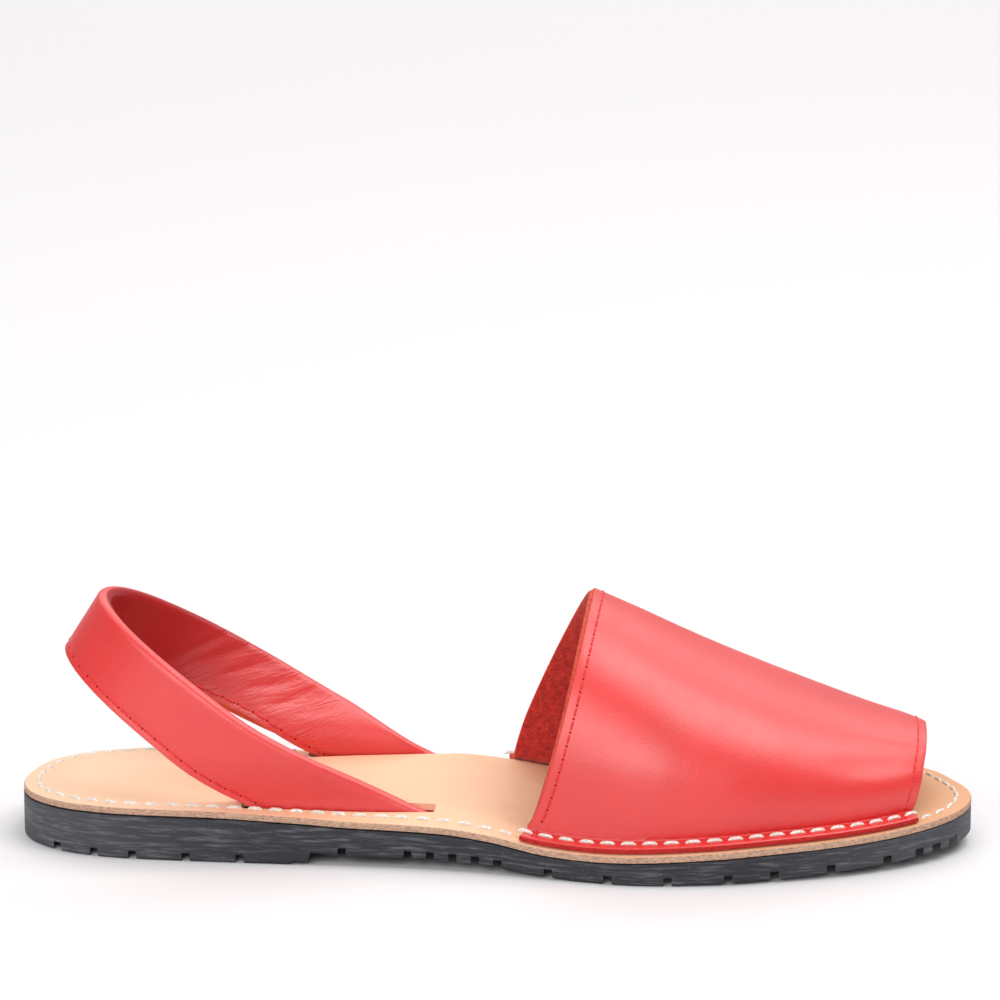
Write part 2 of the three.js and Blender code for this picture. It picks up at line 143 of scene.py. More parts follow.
def unit(v: np.ndarray) -> np.ndarray:
    """Vectors of length one along the last axis."""
    return v / np.maximum(np.linalg.norm(v, axis=-1, keepdims=True), 1e-12)


def point(s: np.ndarray, y: np.ndarray, z: np.ndarray, length: float) -> np.ndarray:
    """Points in the part's frame, in millimetres, from places along, across and up."""
    s, y, z = np.broadcast_arrays(s, y, z)
    return np.stack([s - length / 2, y, z], axis=-1)


def edge_round(distance: np.ndarray, half: float, radius: float) -> np.ndarray:
    """Half thickness of a sheet near its cut edge.

    Args:
        distance: how far inside the edge, in millimetres.
        half: half thickness away from the edge.
        radius: radius of the worn corner.

    Returns:
        Half thickness at each distance.
    """
    inside = np.clip(distance, 0, radius)
    return half - radius + np.sqrt(np.maximum(radius**2 - (radius - inside) ** 2, 0))


def gone_along(path: np.ndarray) -> np.ndarray:
    """Distance along a path from its first point, at each of its points."""
    return np.concatenate([[0], np.cumsum(np.linalg.norm(np.diff(path, axis=0), axis=1))])


def spaced(path: np.ndarray, pitch: float, phase: float = 0.0) -> np.ndarray:
    """Places at an even spacing along a path.

    Args:
        path: points along it.
        pitch: spacing in millimetres.
        phase: where the first place is, in pitches.

    Returns:
        Fractional row numbers of path.
    """
    run = gone_along(path)
    marks = np.arange(phase * pitch, run[-1], pitch)
    return np.interp(marks, run, np.arange(len(path)))


def row_at(values: np.ndarray, place: np.ndarray) -> np.ndarray:
    """Values of a table of rows at fractional row numbers."""
    low = np.clip(np.floor(place).astype(int), 0, len(values) - 2)
    share = (place - low)[:, None]
    return values[low] * (1 - share) + values[low + 1] * share


def deselect() -> None:
    """Leaves edit mode and selects nothing."""
    if bpy.context.object and bpy.context.object.mode != "OBJECT":
        bpy.ops.object.mode_set(mode="OBJECT")
    bpy.ops.object.select_all(action="DESELECT")


def select_only(piece: Object) -> None:
    """Selects one object and makes it active."""
    deselect()
    piece.select_set(True)
    bpy.context.view_layer.objects.active = piece


def signed_volume(mesh: Mesh) -> float:
    """Volume of a closed mesh, negative where its faces point inwards."""
    mesh.calc_loop_triangles()
    corners = np.empty(len(mesh.loop_triangles) * 3, int)
    mesh.loop_triangles.foreach_get("vertices", corners)
    co = np.empty(len(mesh.vertices) * 3)
    mesh.vertices.foreach_get("co", co)
    a, b, c = co.reshape(-1, 3)[corners.reshape(-1, 3).T]
    return float(np.einsum("ij,ij->i", a, np.cross(b, c)).sum() / 6)


def grid_piece(
    name: str,
    points: np.ndarray,
    uv: np.ndarray | None = None,
    material_rows: np.ndarray | None = None,
) -> Object:
    """A closed piece made of a grid primitive whose rows and columns are laid along a form.

    Rows or columns that coincide are welded, which closes the form.

    Args:
        name: name of the piece.
        points: rows x columns x 3 places in millimetres.
        uv: rows x columns x 2 values for the UV map, in millimetres.
        material_rows: material number of each face, (rows - 1) x (columns - 1).

    Returns:
        The new object, its faces pointing outwards.
    """
    rows, columns = points.shape[:2]
    deselect()
    bpy.ops.mesh.primitive_grid_add(x_subdivisions=columns - 1, y_subdivisions=rows - 1, size=1)
    piece = bpy.context.object
    piece.name = piece.data.name = name
    mesh = piece.data
    co = np.empty(len(mesh.vertices) * 3)
    mesh.vertices.foreach_get("co", co)
    co = co.reshape(-1, 3)
    column = np.rint((co[:, 0] + 0.5) * (columns - 1)).astype(int)
    row = np.rint((co[:, 1] + 0.5) * (rows - 1)).astype(int)
    mesh.vertices.foreach_set("co", (points[row, column] * MM).ravel())
    corner = np.empty(len(mesh.loops), int)
    mesh.loops.foreach_get("vertex_index", corner)
    if uv is not None:
        layer = mesh.uv_layers[0] if mesh.uv_layers else mesh.uv_layers.new(name="Surface")
        layer.name = "Surface"
        layer.uv.foreach_set("vector", uv[row[corner], column[corner]].ravel().astype(np.float32))
    if material_rows is not None:
        first = corner.reshape(-1, 4)
        face_row = row[first].min(axis=1)
        face_column = column[first].min(axis=1)
        index = material_rows[face_row, face_column].astype(np.int32)
        mesh.polygons.foreach_set("material_index", index)
    mesh.update()
    select_only(piece)
    bpy.ops.object.mode_set(mode="EDIT")
    bpy.ops.mesh.select_all(action="SELECT")
    bpy.ops.mesh.remove_doubles(threshold=MERGE)
    bpy.ops.mesh.dissolve_degenerate(threshold=MERGE)
    bpy.ops.object.mode_set(mode="OBJECT")
    face_outwards(piece)
    return piece


def face_outwards(piece: Object) -> None:
    """Turns a closed piece's faces outwards if they point in."""
    if signed_volume(piece.data) >= 0:
        return
    select_only(piece)
    bpy.ops.object.mode_set(mode="EDIT")
    bpy.ops.mesh.select_all(action="SELECT")
    bpy.ops.mesh.flip_normals()
    bpy.ops.object.mode_set(mode="OBJECT")


def smooth_by_angle(piece: Object, degrees: float) -> None:
    """Shades a piece smooth, apart from edges sharper than an angle."""
    select_only(piece)
    bpy.ops.object.shade_smooth_by_angle(angle=math.radians(degrees))


def cut_away(piece: Object, cutters: list[Object]) -> None:
    """Cuts closed cutters out of a piece, applies the cuts and deletes the cutters."""
    for cutter in cutters:
        select_only(piece)
        cut = piece.modifiers.new("Cut", "BOOLEAN")
        cut.operation = "DIFFERENCE"
        cut.solver = "EXACT"
        cut.object = cutter
        bpy.ops.object.modifier_apply(modifier=cut.name)
    for cutter in cutters:
        bpy.data.objects.remove(cutter)


def put_in_place(piece: Object, node: str | None = None) -> None:
    """Rides a finished piece on the body and the node it stands for.

    Args:
        piece: the finished piece, its place in its mesh.
        node: the CAD node that it replaces, if any.
    """
    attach(piece, "root")
    if node:
        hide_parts(node)
    count = sum(len(face.vertices) - 2 for face in piece.data.polygons)
    LOG.info("%s: %d triangles", piece.name, count)


@dataclass(frozen=True)
class Station:
    """Half widths of the sandal as shares of the ball's, at a share of its length."""

    along: float
    outer: float
    inner: float


@dataclass(frozen=True)
class Level:
    """Heights as shares of the heel's: rubber's edge, rubber's underside, swell of the footbed."""

    along: float
    seat: float
    lift: float
    swell: float


OUTLINE = (
    Station(0, 0.04, -0.04),
    Station(0.023, 0.394, 0.4),
    Station(0.074, 0.594, 0.573),
    Station(0.129, 0.667, 0.646),
    Station(0.254, 0.708, 0.68),
    Station(0.39, 0.735, 0.712),
    Station(0.488, 0.792, 0.785),
    Station(0.574, 0.908, 0.89),
    Station(0.664, 0.992, 0.975),
    Station(0.73, 0.965, 1),
    Station(0.809, 0.854, 0.99),
    Station(0.871, 0.729, 0.94),
    Station(0.918, 0.596, 0.86),
    Station(0.965, 0.396, 0.615),
    Station(0.984, 0.27, 0.385),
    Station(1, -0.04, 0.04),
)

PROFILE = (
    Level(0, 0.95, 0.3, 0.07),
    Level(0.09, 0.985, 0.3, 0.07),
    Level(0.2, 0.99, 0.3, 0.08),
    Level(0.3, 0.92, 0.3, 0.17),
    Level(0.36, 0.85, 0.22, 0.24),
    Level(0.45, 0.805, 0.215, 0.26),
    Level(0.505, 0.695, 0.155, 0.21),
    Level(0.56, 0.52, 0.055, 0.115),
    Level(0.605, 0.468, 0, 0.1),
    Level(0.67, 0.51, 0, 0.1),
    Level(0.77, 0.61, 0.055, 0.1),
    Level(0.87, 0.692, 0.13, 0.09),
    Level(0.94, 0.775, 0.21, 0.08),
    Level(1, 0.89, 0.3, 0.07),
)


@dataclass
class Last:
    """The sandal's outline and levels, in millimetres."""

    length: float = LENGTH
    ball: float = BALL
    heel: float = HEEL
    gap: float = 0.3
    bed: float = 1.8
    rim: float = 10.0
    half_turn_steps: int = 240
    field_pitch: float = 0.5
    field_margin: float = 4.0
    outer: Curve = field(init=False)
    inner: Curve = field(init=False)
    seat_share: Curve = field(init=False)
    lift_share: Curve = field(init=False)
    swell_share: Curve = field(init=False)
    edge: np.ndarray = field(init=False)
    depth: np.ndarray = field(init=False)

    def __post_init__(self) -> None:
        """Works out the curves, the outline and how far each place lies inside it."""
        turned = self.turn(np.array([row.along for row in OUTLINE]))
        self.outer = through(turned, np.array([row.outer for row in OUTLINE], float))
        self.inner = through(turned, np.array([row.inner for row in OUTLINE], float))
        along = np.array([row.along for row in PROFILE], float)
        self.seat_share = through(along, np.array([row.seat for row in PROFILE]))
        self.lift_share = through(along, np.array([row.lift for row in PROFILE], float))
        self.swell_share = through(along, np.array([row.swell for row in PROFILE]))
        n = self.half_turn_steps
        s = self.length * (1 - np.cos(np.pi * np.arange(n + 1) / n)) / 2
        there = np.stack([s, -self.outer_half(s)], axis=1)
        back = np.stack([s, self.inner_half(s)], axis=1)[-2:0:-1]
        self.edge = np.concatenate([there, back])
        self.depth = self.depth_field()

    @staticmethod
    def turn(share: np.ndarray) -> np.ndarray:
        """Shares of the length as angles of a half turn, which makes both ends round."""
        return np.arccos(np.clip(1 - 2 * np.asarray(share, float), -1, 1))

    def outer_half(self, s: np.ndarray) -> np.ndarray:
        """Half width on the outer side."""
        return self.ball * self.outer(self.turn(np.asarray(s) / self.length))

    def inner_half(self, s: np.ndarray) -> np.ndarray:
        """Half width on the inner side."""
        return self.ball * self.inner(self.turn(np.asarray(s) / self.length))

    def depth_field(self) -> np.ndarray:
        """Distance inside the outline on a regular field of places, negative outside."""
        pitch, margin = self.field_pitch, self.field_margin
        s = np.arange(-margin, self.length + margin + pitch, pitch)
        y = np.arange(-self.ball - margin, self.ball + margin + pitch, pitch)
        a = self.edge
        run = np.roll(a, -1, axis=0) - a
        size = (run**2).sum(axis=1)
        rows = []
        for place in s:
            to = np.stack([np.full_like(y, place), y], axis=1)[:, None] - a[None]
            t = np.clip((to * run).sum(axis=2) / size, 0, 1)
            gap = np.linalg.norm(to - t[..., None] * run, axis=2).min(axis=1)
            inside = (y > -self.outer_half(place)) & (y < self.inner_half(place))
            inside &= 0 < place < self.length
            rows.append(np.where(inside, gap, -gap))
        return np.array(rows)

    def inside(self, s: np.ndarray, y: np.ndarray) -> np.ndarray:
        """How far places lie inside the outline, 0 outside it."""
        shape = np.broadcast(s, y).shape
        i = (np.broadcast_to(s, shape) + self.field_margin) / self.field_pitch
        j = (np.broadcast_to(y, shape) + self.ball + self.field_margin) / self.field_pitch
        i = np.clip(i, 0, self.depth.shape[0] - 1.001)
        j = np.clip(j, 0, self.depth.shape[1] - 1.001)
        i0, j0 = i.astype(int), j.astype(int)
        a, b = i - i0, j - j0
        d = self.depth
        low = d[i0, j0] * (1 - b) + d[i0, j0 + 1] * b
        high = d[i0 + 1, j0] * (1 - b) + d[i0 + 1, j0 + 1] * b
        return np.maximum(low * (1 - a) + high * a, 0)

    def bed_level(self, s: np.ndarray, y: np.ndarray) -> np.ndarray:
        """Height between rubber and footbed."""
        share = np.asarray(s) / self.length
        swell = self.swell_share(share) * smoothstep(self.inside(s, y), 0, self.rim)
        return self.heel * (self.seat_share(share) + swell)

    def bed_under(self, s: np.ndarray, y: np.ndarray) -> np.ndarray:
        """Height of the footbed's underside."""
        return self.bed_level(s, y) + self.gap / 2

    def bed_top(self, s: np.ndarray, y: np.ndarray) -> np.ndarray:
        """Height of the footbed's upper face."""
        return self.bed_under(s, y) + self.bed

    def ring(self, distance: float) -> np.ndarray:
        """The outline moved inward by a distance, as (s, y) rows all the way round."""
        along = unit(np.roll(self.edge, -1, axis=0) - np.roll(self.edge, 1, axis=0))
        return self.edge + distance * np.stack([-along[:, 1], along[:, 0]], axis=1)

    def inset(self, side: Side, distance: float, s: np.ndarray) -> np.ndarray:
        """Across place of the moved outline on one side, at places along."""
        line = self.ring(distance)
        n = self.half_turn_steps
        if side is Side.OUTER:
            run = line[: n + 1]
        else:
            run = np.concatenate([line[:1], line[n:][::-1]])
        return np.interp(s, run[:, 0], run[:, 1])


class Tree:
    """A shader tree being written, with short ways to add and join nodes."""

    def __init__(self, tree: NodeTree) -> None:
        """Keeps the tree."""
        self.tree = tree

    def node(self, kind: str, **values: object) -> Node:
        """Adds a node and sets its properties."""
        made = self.tree.nodes.new(kind)
        for name, value in values.items():
            setattr(made, name, value)
        return made

    def join(self, source: Socket, target: Socket) -> None:
        """Links two sockets."""
        self.tree.links.new(source, target)

    def place(self) -> Socket:
        """The object's own coordinates."""
        return self.node("ShaderNodeTexCoord").outputs["Object"]

    def surface(self) -> Socket:
        """The piece's own map, in millimetres along and across its surface."""
        return self.node("ShaderNodeUVMap", uv_map="Surface").outputs["UV"]

    def split(self, vector: Socket) -> NodeOutputs:
        """The parts X, Y and Z of a vector."""
        made = self.node("ShaderNodeSeparateXYZ")
        self.join(vector, made.inputs[0])
        return made.outputs

    def math(self, operation: str, *values: object) -> Socket:
        """A sum of numbers and sockets.

        Args:
            operation: what is done, as Blender names it.
            values: numbers or sockets.

        Returns:
            The result's socket.
        """
        made = self.node("ShaderNodeMath", operation=operation)
        for i, value in enumerate(values):
            if isinstance(value, (int, float)):
                made.inputs[i].default_value = value
            else:
                self.join(value, made.inputs[i])
        return made.outputs[0]

    def times(self, value: Socket, factor: object) -> Socket:
        """A value times a number or another value."""
        return self.math("MULTIPLY", value, factor)

    def rest(self, share: Socket) -> Socket:
        """What a share leaves of one."""
        return self.math("SUBTRACT", 1.0, share)

    def weighed(self, a: Socket, a_share: object, b: Socket, b_share: object) -> Socket:
        """The sum of two values, each times its own share."""
        return self.math("ADD", self.times(a, a_share), self.times(b, b_share))

    def noise(self, vector: Socket, scale: float, detail: float, rough: float) -> Socket:
        """A cloudy pattern of values from 0 to 1."""
        made = self.node("ShaderNodeTexNoise")
        made.inputs["Scale"].default_value = scale
        made.inputs["Detail"].default_value = detail
        made.inputs["Roughness"].default_value = rough
        self.join(vector, made.inputs["Vector"])
        return made.outputs["Fac"]

    def stretch(self, vector: Socket, x: float, y: float, z: float) -> Socket:
        """A vector scaled along its axes."""
        made = self.node("ShaderNodeMapping")
        made.inputs["Scale"].default_value = (x, y, z)
        self.join(vector, made.inputs["Vector"])
        return made.outputs["Vector"]

    def ramp(self, value: Socket, low: float, high: float) -> Socket:
        """A value eased from 0 at low to 1 at high."""
        made = self.node("ShaderNodeMapRange", interpolation_type="SMOOTHSTEP")
        made.inputs["From Min"].default_value = low
        made.inputs["From Max"].default_value = high
        self.join(value, made.inputs["Value"])
        return made.outputs["Result"]

    def blend(self, share: object, a: object, b: object) -> Socket:
        """A colour between two, which are colours or sockets."""
        made = self.node("ShaderNodeMix", data_type="RGBA", blend_type="MIX")
        for i, value in ((0, share), (6, a), (7, b)):
            if isinstance(value, Socket):
                self.join(value, made.inputs[i])
            else:
                made.inputs[i].default_value = value
        return made.outputs[2]

    def bump(self, height: Socket, distance: float) -> Socket:
        """A normal from a height, with its depth in metres."""
        made = self.node("ShaderNodeBump")
        made.inputs["Distance"].default_value = distance
        self.join(height, made.inputs["Height"])
        return made.outputs["Normal"]

    def dyed(self, colour: Colour, shade: Colour, clouds: float, flecks: float) -> Socket:
        """A colour with broad clouds and fine flecks of a second one."""
        dye = self.node("ShaderNodeGroup", node_tree=mottle_group())
        self.join(self.place(), dye.inputs["Vector"])
        dye.inputs["Colour"].default_value = colour
        dye.inputs["Shade"].default_value = shade
        dye.inputs["Clouds"].default_value = clouds
        dye.inputs["Flecks"].default_value = flecks
        return dye.outputs["Colour"]

    def grain(self, pebbles: float) -> Socket:
        """The height of leather's grain, with its number of pebbles in a metre."""
        grain = self.node("ShaderNodeGroup", node_tree=grain_group())
        self.join(self.place(), grain.inputs["Vector"])
        grain.inputs["Pebbles"].default_value = pebbles
        return grain.outputs["Height"]


def tone(red: int, green: int, blue: int) -> Colour:
    """A colour given by its screen values, as light values."""

    def light(value: int) -> float:
        """One channel."""
        c = value / 255
        return c / 12.92 if c <= 0.04045 else ((c + 0.055) / 1.055) ** 2.4

    return (light(red), light(green), light(blue), 1.0)


def shader_group(
    name: str,
    inputs: tuple[tuple[str, str, object], ...],
    output: tuple[str, str],
    write: Callable[[Tree, NodeOutputs], Socket],
) -> NodeTree:
    """A shader group with one output, written the first time it is asked for.

    Args:
        name: name of the group.
        inputs: name, kind and default of each input.
        output: name and kind of the output.
        write: adds the nodes between the inputs and the output.

    Returns:
        The group.
    """
    known = bpy.data.node_groups.get(name)
    if known:
        return known
    group = bpy.data.node_groups.new(name, "ShaderNodeTree")
    for label, kind, value in inputs:
        made = group.interface.new_socket(label, in_out="INPUT", socket_type=kind)
        if value is not None:
            made.default_value = value
    group.interface.new_socket(output[0], in_out="OUTPUT", socket_type=output[1])
    t = Tree(group)
    inside, outside = t.node("NodeGroupInput"), t.node("NodeGroupOutput")
    t.join(write(t, inside.outputs), outside.inputs[0])
    return group


def grain_group() -> NodeTree:
    """Leather grain: fine pebbles with soft creases between them, as a height from 0 to 1."""

    def write(t: Tree, given: NodeOutputs) -> Socket:
        """Pebbles, softened by a cloudy pattern."""
        cells = t.node("ShaderNodeTexVoronoi", feature="SMOOTH_F1")
        cells.inputs["Smoothness"].default_value = 0.6
        t.join(given["Vector"], cells.inputs["Vector"])
        t.join(given["Pebbles"], cells.inputs["Scale"])
        soft = t.noise(given["Vector"], 420, 5, 0.6)
        return t.weighed(cells.outputs["Distance"], 0.55, soft, 0.45)

    inputs = (("Vector", VECTOR, None), ("Pebbles", NUMBER, 900.0))
    return shader_group("Leather grain", inputs, ("Height", NUMBER), write)


def mottle_group() -> NodeTree:
    """Uneven dye: broad clouds and fine flecks of a second colour over the first."""

    def write(t: Tree, given: NodeOutputs) -> Socket:
        """The first colour, blended with the second by clouds and flecks."""
        clouds = t.ramp(t.noise(given["Vector"], 38, 4, 0.55), 0.35, 0.75)
        flecks = t.ramp(t.noise(given["Vector"], 1500, 2, 0.7), 0.5, 0.8)
        share = t.weighed(clouds, given["Clouds"], flecks, given["Flecks"])
        return t.blend(share, given["Colour"], given["Shade"])

    inputs = (
        ("Vector", VECTOR, None),
        ("Colour", PAINT, (1, 1, 1, 1)),
        ("Shade", PAINT, (0.5, 0.5, 0.5, 1)),
        ("Clouds", NUMBER, 0.3),
        ("Flecks", NUMBER, 0.1),
    )
    return shader_group("Uneven dye", inputs, ("Colour", PAINT), write)


def pinhole_group() -> NodeTree:
    """A row of needle holes along one line of the surface's own map, as a mask."""

    def write(t: Tree, given: NodeOutputs) -> Socket:
        """One inside a hole's radius and nought outside it."""
        turns = t.math("FRACT", t.math("DIVIDE", given["Along"], given["Pitch"]))
        off = t.times(t.math("SUBTRACT", turns, 0.5), given["Pitch"])
        aside = t.math("SUBTRACT", given["Across"], given["Line"])
        apart = t.math("SQRT", t.weighed(off, off, aside, aside))
        return t.rest(t.ramp(t.math("DIVIDE", apart, given["Radius"]), 0.55, 1.25))

    inputs = (
        ("Along", NUMBER, 0.0),
        ("Across", NUMBER, 0.0),
        ("Line", NUMBER, 0.0),
        ("Pitch", NUMBER, 4.0),
        ("Radius", NUMBER, 0.4),
    )
    return shader_group("Needle holes", inputs, ("Mask", NUMBER), write)


@dataclass(frozen=True)
class Finish:
    """What every finish has."""

    name: str
    colour: Colour
    roughness: float

    def material(self) -> Material:
        """The finished material."""
        material = bpy.data.materials.new(self.name)
        material.use_nodes = True
        material.diffuse_color = self.colour
        shader = material.node_tree.nodes["Principled BSDF"]
        shader.inputs["Base Color"].default_value = self.colour
        shader.inputs["Roughness"].default_value = self.roughness
        self.dress(Tree(material.node_tree), shader)
        return material

    def dress(self, t: Tree, shader: Node) -> None:
        """Adds what the finish has beyond one even colour.

        Args:
            t: the material's tree.
            shader: its shader, with the colour and roughness set.
        """


@dataclass(frozen=True)
class DyedLeather(Finish):
    """Smooth dyed leather with a soft sheen, needle holes and creases, and painted shade in the
    holes and, where given, behind the heel.

    Places on the surface's map, such as holes and the ends of zones, are in millimetres.
    """

    shade: Colour
    # Painted shade: the dark inside of each needle hole.
    hole: Colour
    clouds: float = 0.22
    flecks: float = 0.05
    pebbles: float = 1300.0
    depth: float = 0.00006
    gloss_spread: float = 0.16
    holes: tuple[tuple[float, float], ...] = ()
    hole_radius: float = 0.4
    wrinkles: float = 0.0
    wrinkle_turn: float = -52.0
    wrinkles_start: tuple[float, float] = (36.0, 48.0)
    wrinkles_end: tuple[float, float] = (78.0, 98.0)
    # Painted shade: a darker colour, with less shine, for the round end of the strap's inside
    # behind the heel.
    deep: Colour | None = None
    painted_shade_share: float = 0.75
    painted_shade_end: tuple[float, float] = (32.0, 74.0)
    specular: float = 1.0

    def dress(self, t: Tree, shader: Node) -> None:
        """Adds dye, grain, holes and creases, and painted shade in the holes and behind the heel.
        """
        height = t.grain(self.pebbles)
        colour = t.dyed(self.colour, self.shade, self.clouds, self.flecks)
        painted_shade = None
        # Painted shade behind the heel: darker colour there, and less shine below.
        if self.deep:
            painted_shade = self.painted_shade_mask(t)
            colour = t.blend(painted_shade, colour, self.deep)
        if self.wrinkles:
            height = t.math("ADD", height, t.times(self.folds(t), self.wrinkles))
        # Painted shade: each needle hole is coloured dark, and loses its shine below.
        for line, pitch in self.holes:
            mask = self.hole_row(t, line, pitch)
            colour = t.blend(mask, colour, self.hole)
            painted_shade = t.math("MAXIMUM", painted_shade, mask) if painted_shade else mask
        # Shine is lowered wherever shade is painted: behind the heel and in the needle holes.
        if painted_shade:
            t.join(t.math("SUBTRACT", self.specular, painted_shade), shader.inputs["Specular IOR Level"])
        else:
            shader.inputs["Specular IOR Level"].default_value = self.specular
        t.join(colour, shader.inputs["Base Color"])
        gloss = t.math("SUBTRACT", t.noise(t.place(), 160, 3, 0.6), 0.5)
        rough = t.math("ADD", t.times(gloss, self.gloss_spread), self.roughness)
        t.join(rough, shader.inputs["Roughness"])
        t.join(t.bump(height, self.depth), shader.inputs["Normal"])
        shader.inputs["Sheen Weight"].default_value = 0.04
        shader.inputs["Sheen Roughness"].default_value = 0.4

    def painted_shade_mask(self, t: Tree) -> Socket:
        """Where the round end behind the heel gets painted shade, as a mask."""
        away = t.ramp(t.math("ABSOLUTE", t.split(t.surface())["X"]), *self.painted_shade_end)
        return t.times(t.rest(away), self.painted_shade_share)

    def folds(self, t: Tree) -> Socket:
        """Fine slanting creases in the part of the inner side that bends, as a height."""
        surface = t.surface()
        turned = t.node("ShaderNodeMapping")
        turned.inputs["Rotation"].default_value = (0, 0, math.radians(self.wrinkle_turn))
        t.join(surface, turned.inputs["Vector"])
        lines = t.noise(t.stretch(turned.outputs["Vector"], 0.08, 0.42, 1), 1.0, 3, 0.5)
        ridges = t.math("ABSOLUTE", t.math("SUBTRACT", lines, 0.5))
        along = t.split(surface)["X"]
        starts = t.ramp(along, *self.wrinkles_start)
        zone = t.times(starts, t.rest(t.ramp(along, *self.wrinkles_end)))
        return t.times(t.ramp(ridges, 0.0, 0.12), zone)

    def hole_row(self, t: Tree, line: float, pitch: float) -> Socket:
        """The mask of the needle holes along one stitched line of the surface's map."""
        parts = t.split(t.surface())
        row = t.node("ShaderNodeGroup", node_tree=pinhole_group())
        t.join(parts["X"], row.inputs["Along"])
        t.join(parts["Y"], row.inputs["Across"])
        row.inputs["Line"].default_value = line
        row.inputs["Pitch"].default_value = pitch
        row.inputs["Radius"].default_value = self.hole_radius
        return row.outputs["Mask"]


@dataclass(frozen=True)
class Suede(Finish):
    """The napped flesh side of leather."""

    shade: Colour
    nap: float = 0.00025

    def dress(self, t: Tree, shader: Node) -> None:
        """Adds fuzz and tufts."""
        place = t.place()
        fuzz = t.noise(place, 2200, 4, 0.7)
        tufts = t.noise(place, 520, 3, 0.6)
        share = t.ramp(t.weighed(fuzz, 0.6, tufts, 0.4), 0.36, 0.66)
        t.join(t.blend(share, self.shade, self.colour), shader.inputs["Base Color"])
        t.join(t.bump(t.math("ADD", fuzz, tufts), self.nap), shader.inputs["Normal"])
        shader.inputs["Sheen Weight"].default_value = 0.35
        shader.inputs["Sheen Roughness"].default_value = 0.55
        shader.inputs["Specular IOR Level"].default_value = 0.2


@dataclass(frozen=True)
class NaturalLeather(Finish):
    """Undyed leather, browner at the toe, with painted light that makes the heel paler, and with
    fine pores.

    The ends of its zones are places along the sandal, in metres.
    """

    shade: Colour
    toe: Colour
    # Painted light: a paler colour at the heel that lifts the shade under the strap.
    heel: Colour
    toe_zone: tuple[float, float] = (0.0, 0.1)
    heel_light_zone: tuple[float, float] = (-0.11, -0.03)
    toe_share: float = 0.8
    heel_light_share: float = 0.7
    clouds: float = 0.28
    flecks: float = 0.16
    pebbles: float = 1300.0
    depth: float = 0.00005

    def dress(self, t: Tree, shader: Node) -> None:
        """Adds uneven tan, browning, the heel's painted light and grain."""
        colour = t.dyed(self.colour, self.shade, self.clouds, self.flecks)
        along = t.split(t.place())["X"]
        # Painted light: the heel is blended towards the paler colour.
        back = t.rest(t.ramp(along, *self.heel_light_zone))
        colour = t.blend(t.times(back, self.heel_light_share), colour, self.heel)
        forward = t.ramp(along, *self.toe_zone)
        colour = t.blend(t.times(forward, self.toe_share), colour, self.toe)
        t.join(colour, shader.inputs["Base Color"])
        t.join(t.bump(t.grain(self.pebbles), self.depth), shader.inputs["Normal"])
        shader.inputs["Specular IOR Level"].default_value = 0.35


@dataclass(frozen=True)
class CutEdge(Finish):
    """The raw fibres of a cut edge."""

    shade: Colour
    depth: float = 0.00012

    def dress(self, t: Tree, shader: Node) -> None:
        """Adds flat layers of fibre."""
        layers = t.noise(t.stretch(t.place(), 1, 1, 3), 900, 4, 0.7)
        colour = t.blend(t.ramp(layers, 0.35, 0.7), self.colour, self.shade)
        t.join(colour, shader.inputs["Base Color"])
        t.join(t.bump(layers, self.depth), shader.inputs["Normal"])
        shader.inputs["Specular IOR Level"].default_value = 0.2


@dataclass(frozen=True)
class Rubber(Finish):
    """Dark moulded rubber, streaked along, paler at both ends, with pale specks of dust."""

    streak: Colour
    dust: Colour
    streak_share: float = 0.5
    worn_share: float = 0.22
    worn_zone: tuple[float, float] = (0.06, 0.128)
    depth: float = 0.00022

    def dress(self, t: Tree, shader: Node) -> None:
        """Adds streaks, wear and dust."""
        place = t.place()
        lines = t.noise(t.stretch(place, 0.08, 0.08, 1), 1300, 4, 0.65)
        fine = t.noise(t.stretch(place, 0.2, 0.2, 1), 3200, 3, 0.6)
        specks = t.ramp(t.noise(place, 2600, 2, 0.5), 0.66, 0.78)
        patches = t.ramp(t.noise(place, 60, 3, 0.6), 0.4, 0.7)
        worn = t.ramp(t.math("ABSOLUTE", t.split(place)["X"]), *self.worn_zone)
        streaks = t.ramp(lines, 0.46, 0.74)
        share = t.weighed(streaks, self.streak_share, worn, self.worn_share)
        colour = t.blend(share, self.colour, self.streak)
        dusty = t.times(specks, t.math("ADD", t.times(patches, 0.4), 0.12))
        t.join(t.blend(dusty, colour, self.dust), shader.inputs["Base Color"])
        t.join(t.bump(t.weighed(lines, 0.7, fine, 0.3), self.depth), shader.inputs["Normal"])
        shader.inputs["Specular IOR Level"].default_value = 0.4


@dataclass(frozen=True)
class Thread(Finish):
    """Twisted thread: painted shade darkens the grooves wound round each stitch."""

    # Painted shade in the grooves of the twist.
    shade: Colour
    twist: float = 1500.0
    depth: float = 0.00008

    def dress(self, t: Tree, shader: Node) -> None:
        """Adds the strands, with painted shade in their grooves."""
        strands = t.noise(t.stretch(t.place(), 1, 1.6, 1), self.twist, 2, 0.6)
        colour = t.blend(t.ramp(strands, 0.4, 0.7), self.shade, self.colour)
        t.join(colour, shader.inputs["Base Color"])
        t.join(t.bump(strands, self.depth), shader.inputs["Normal"])


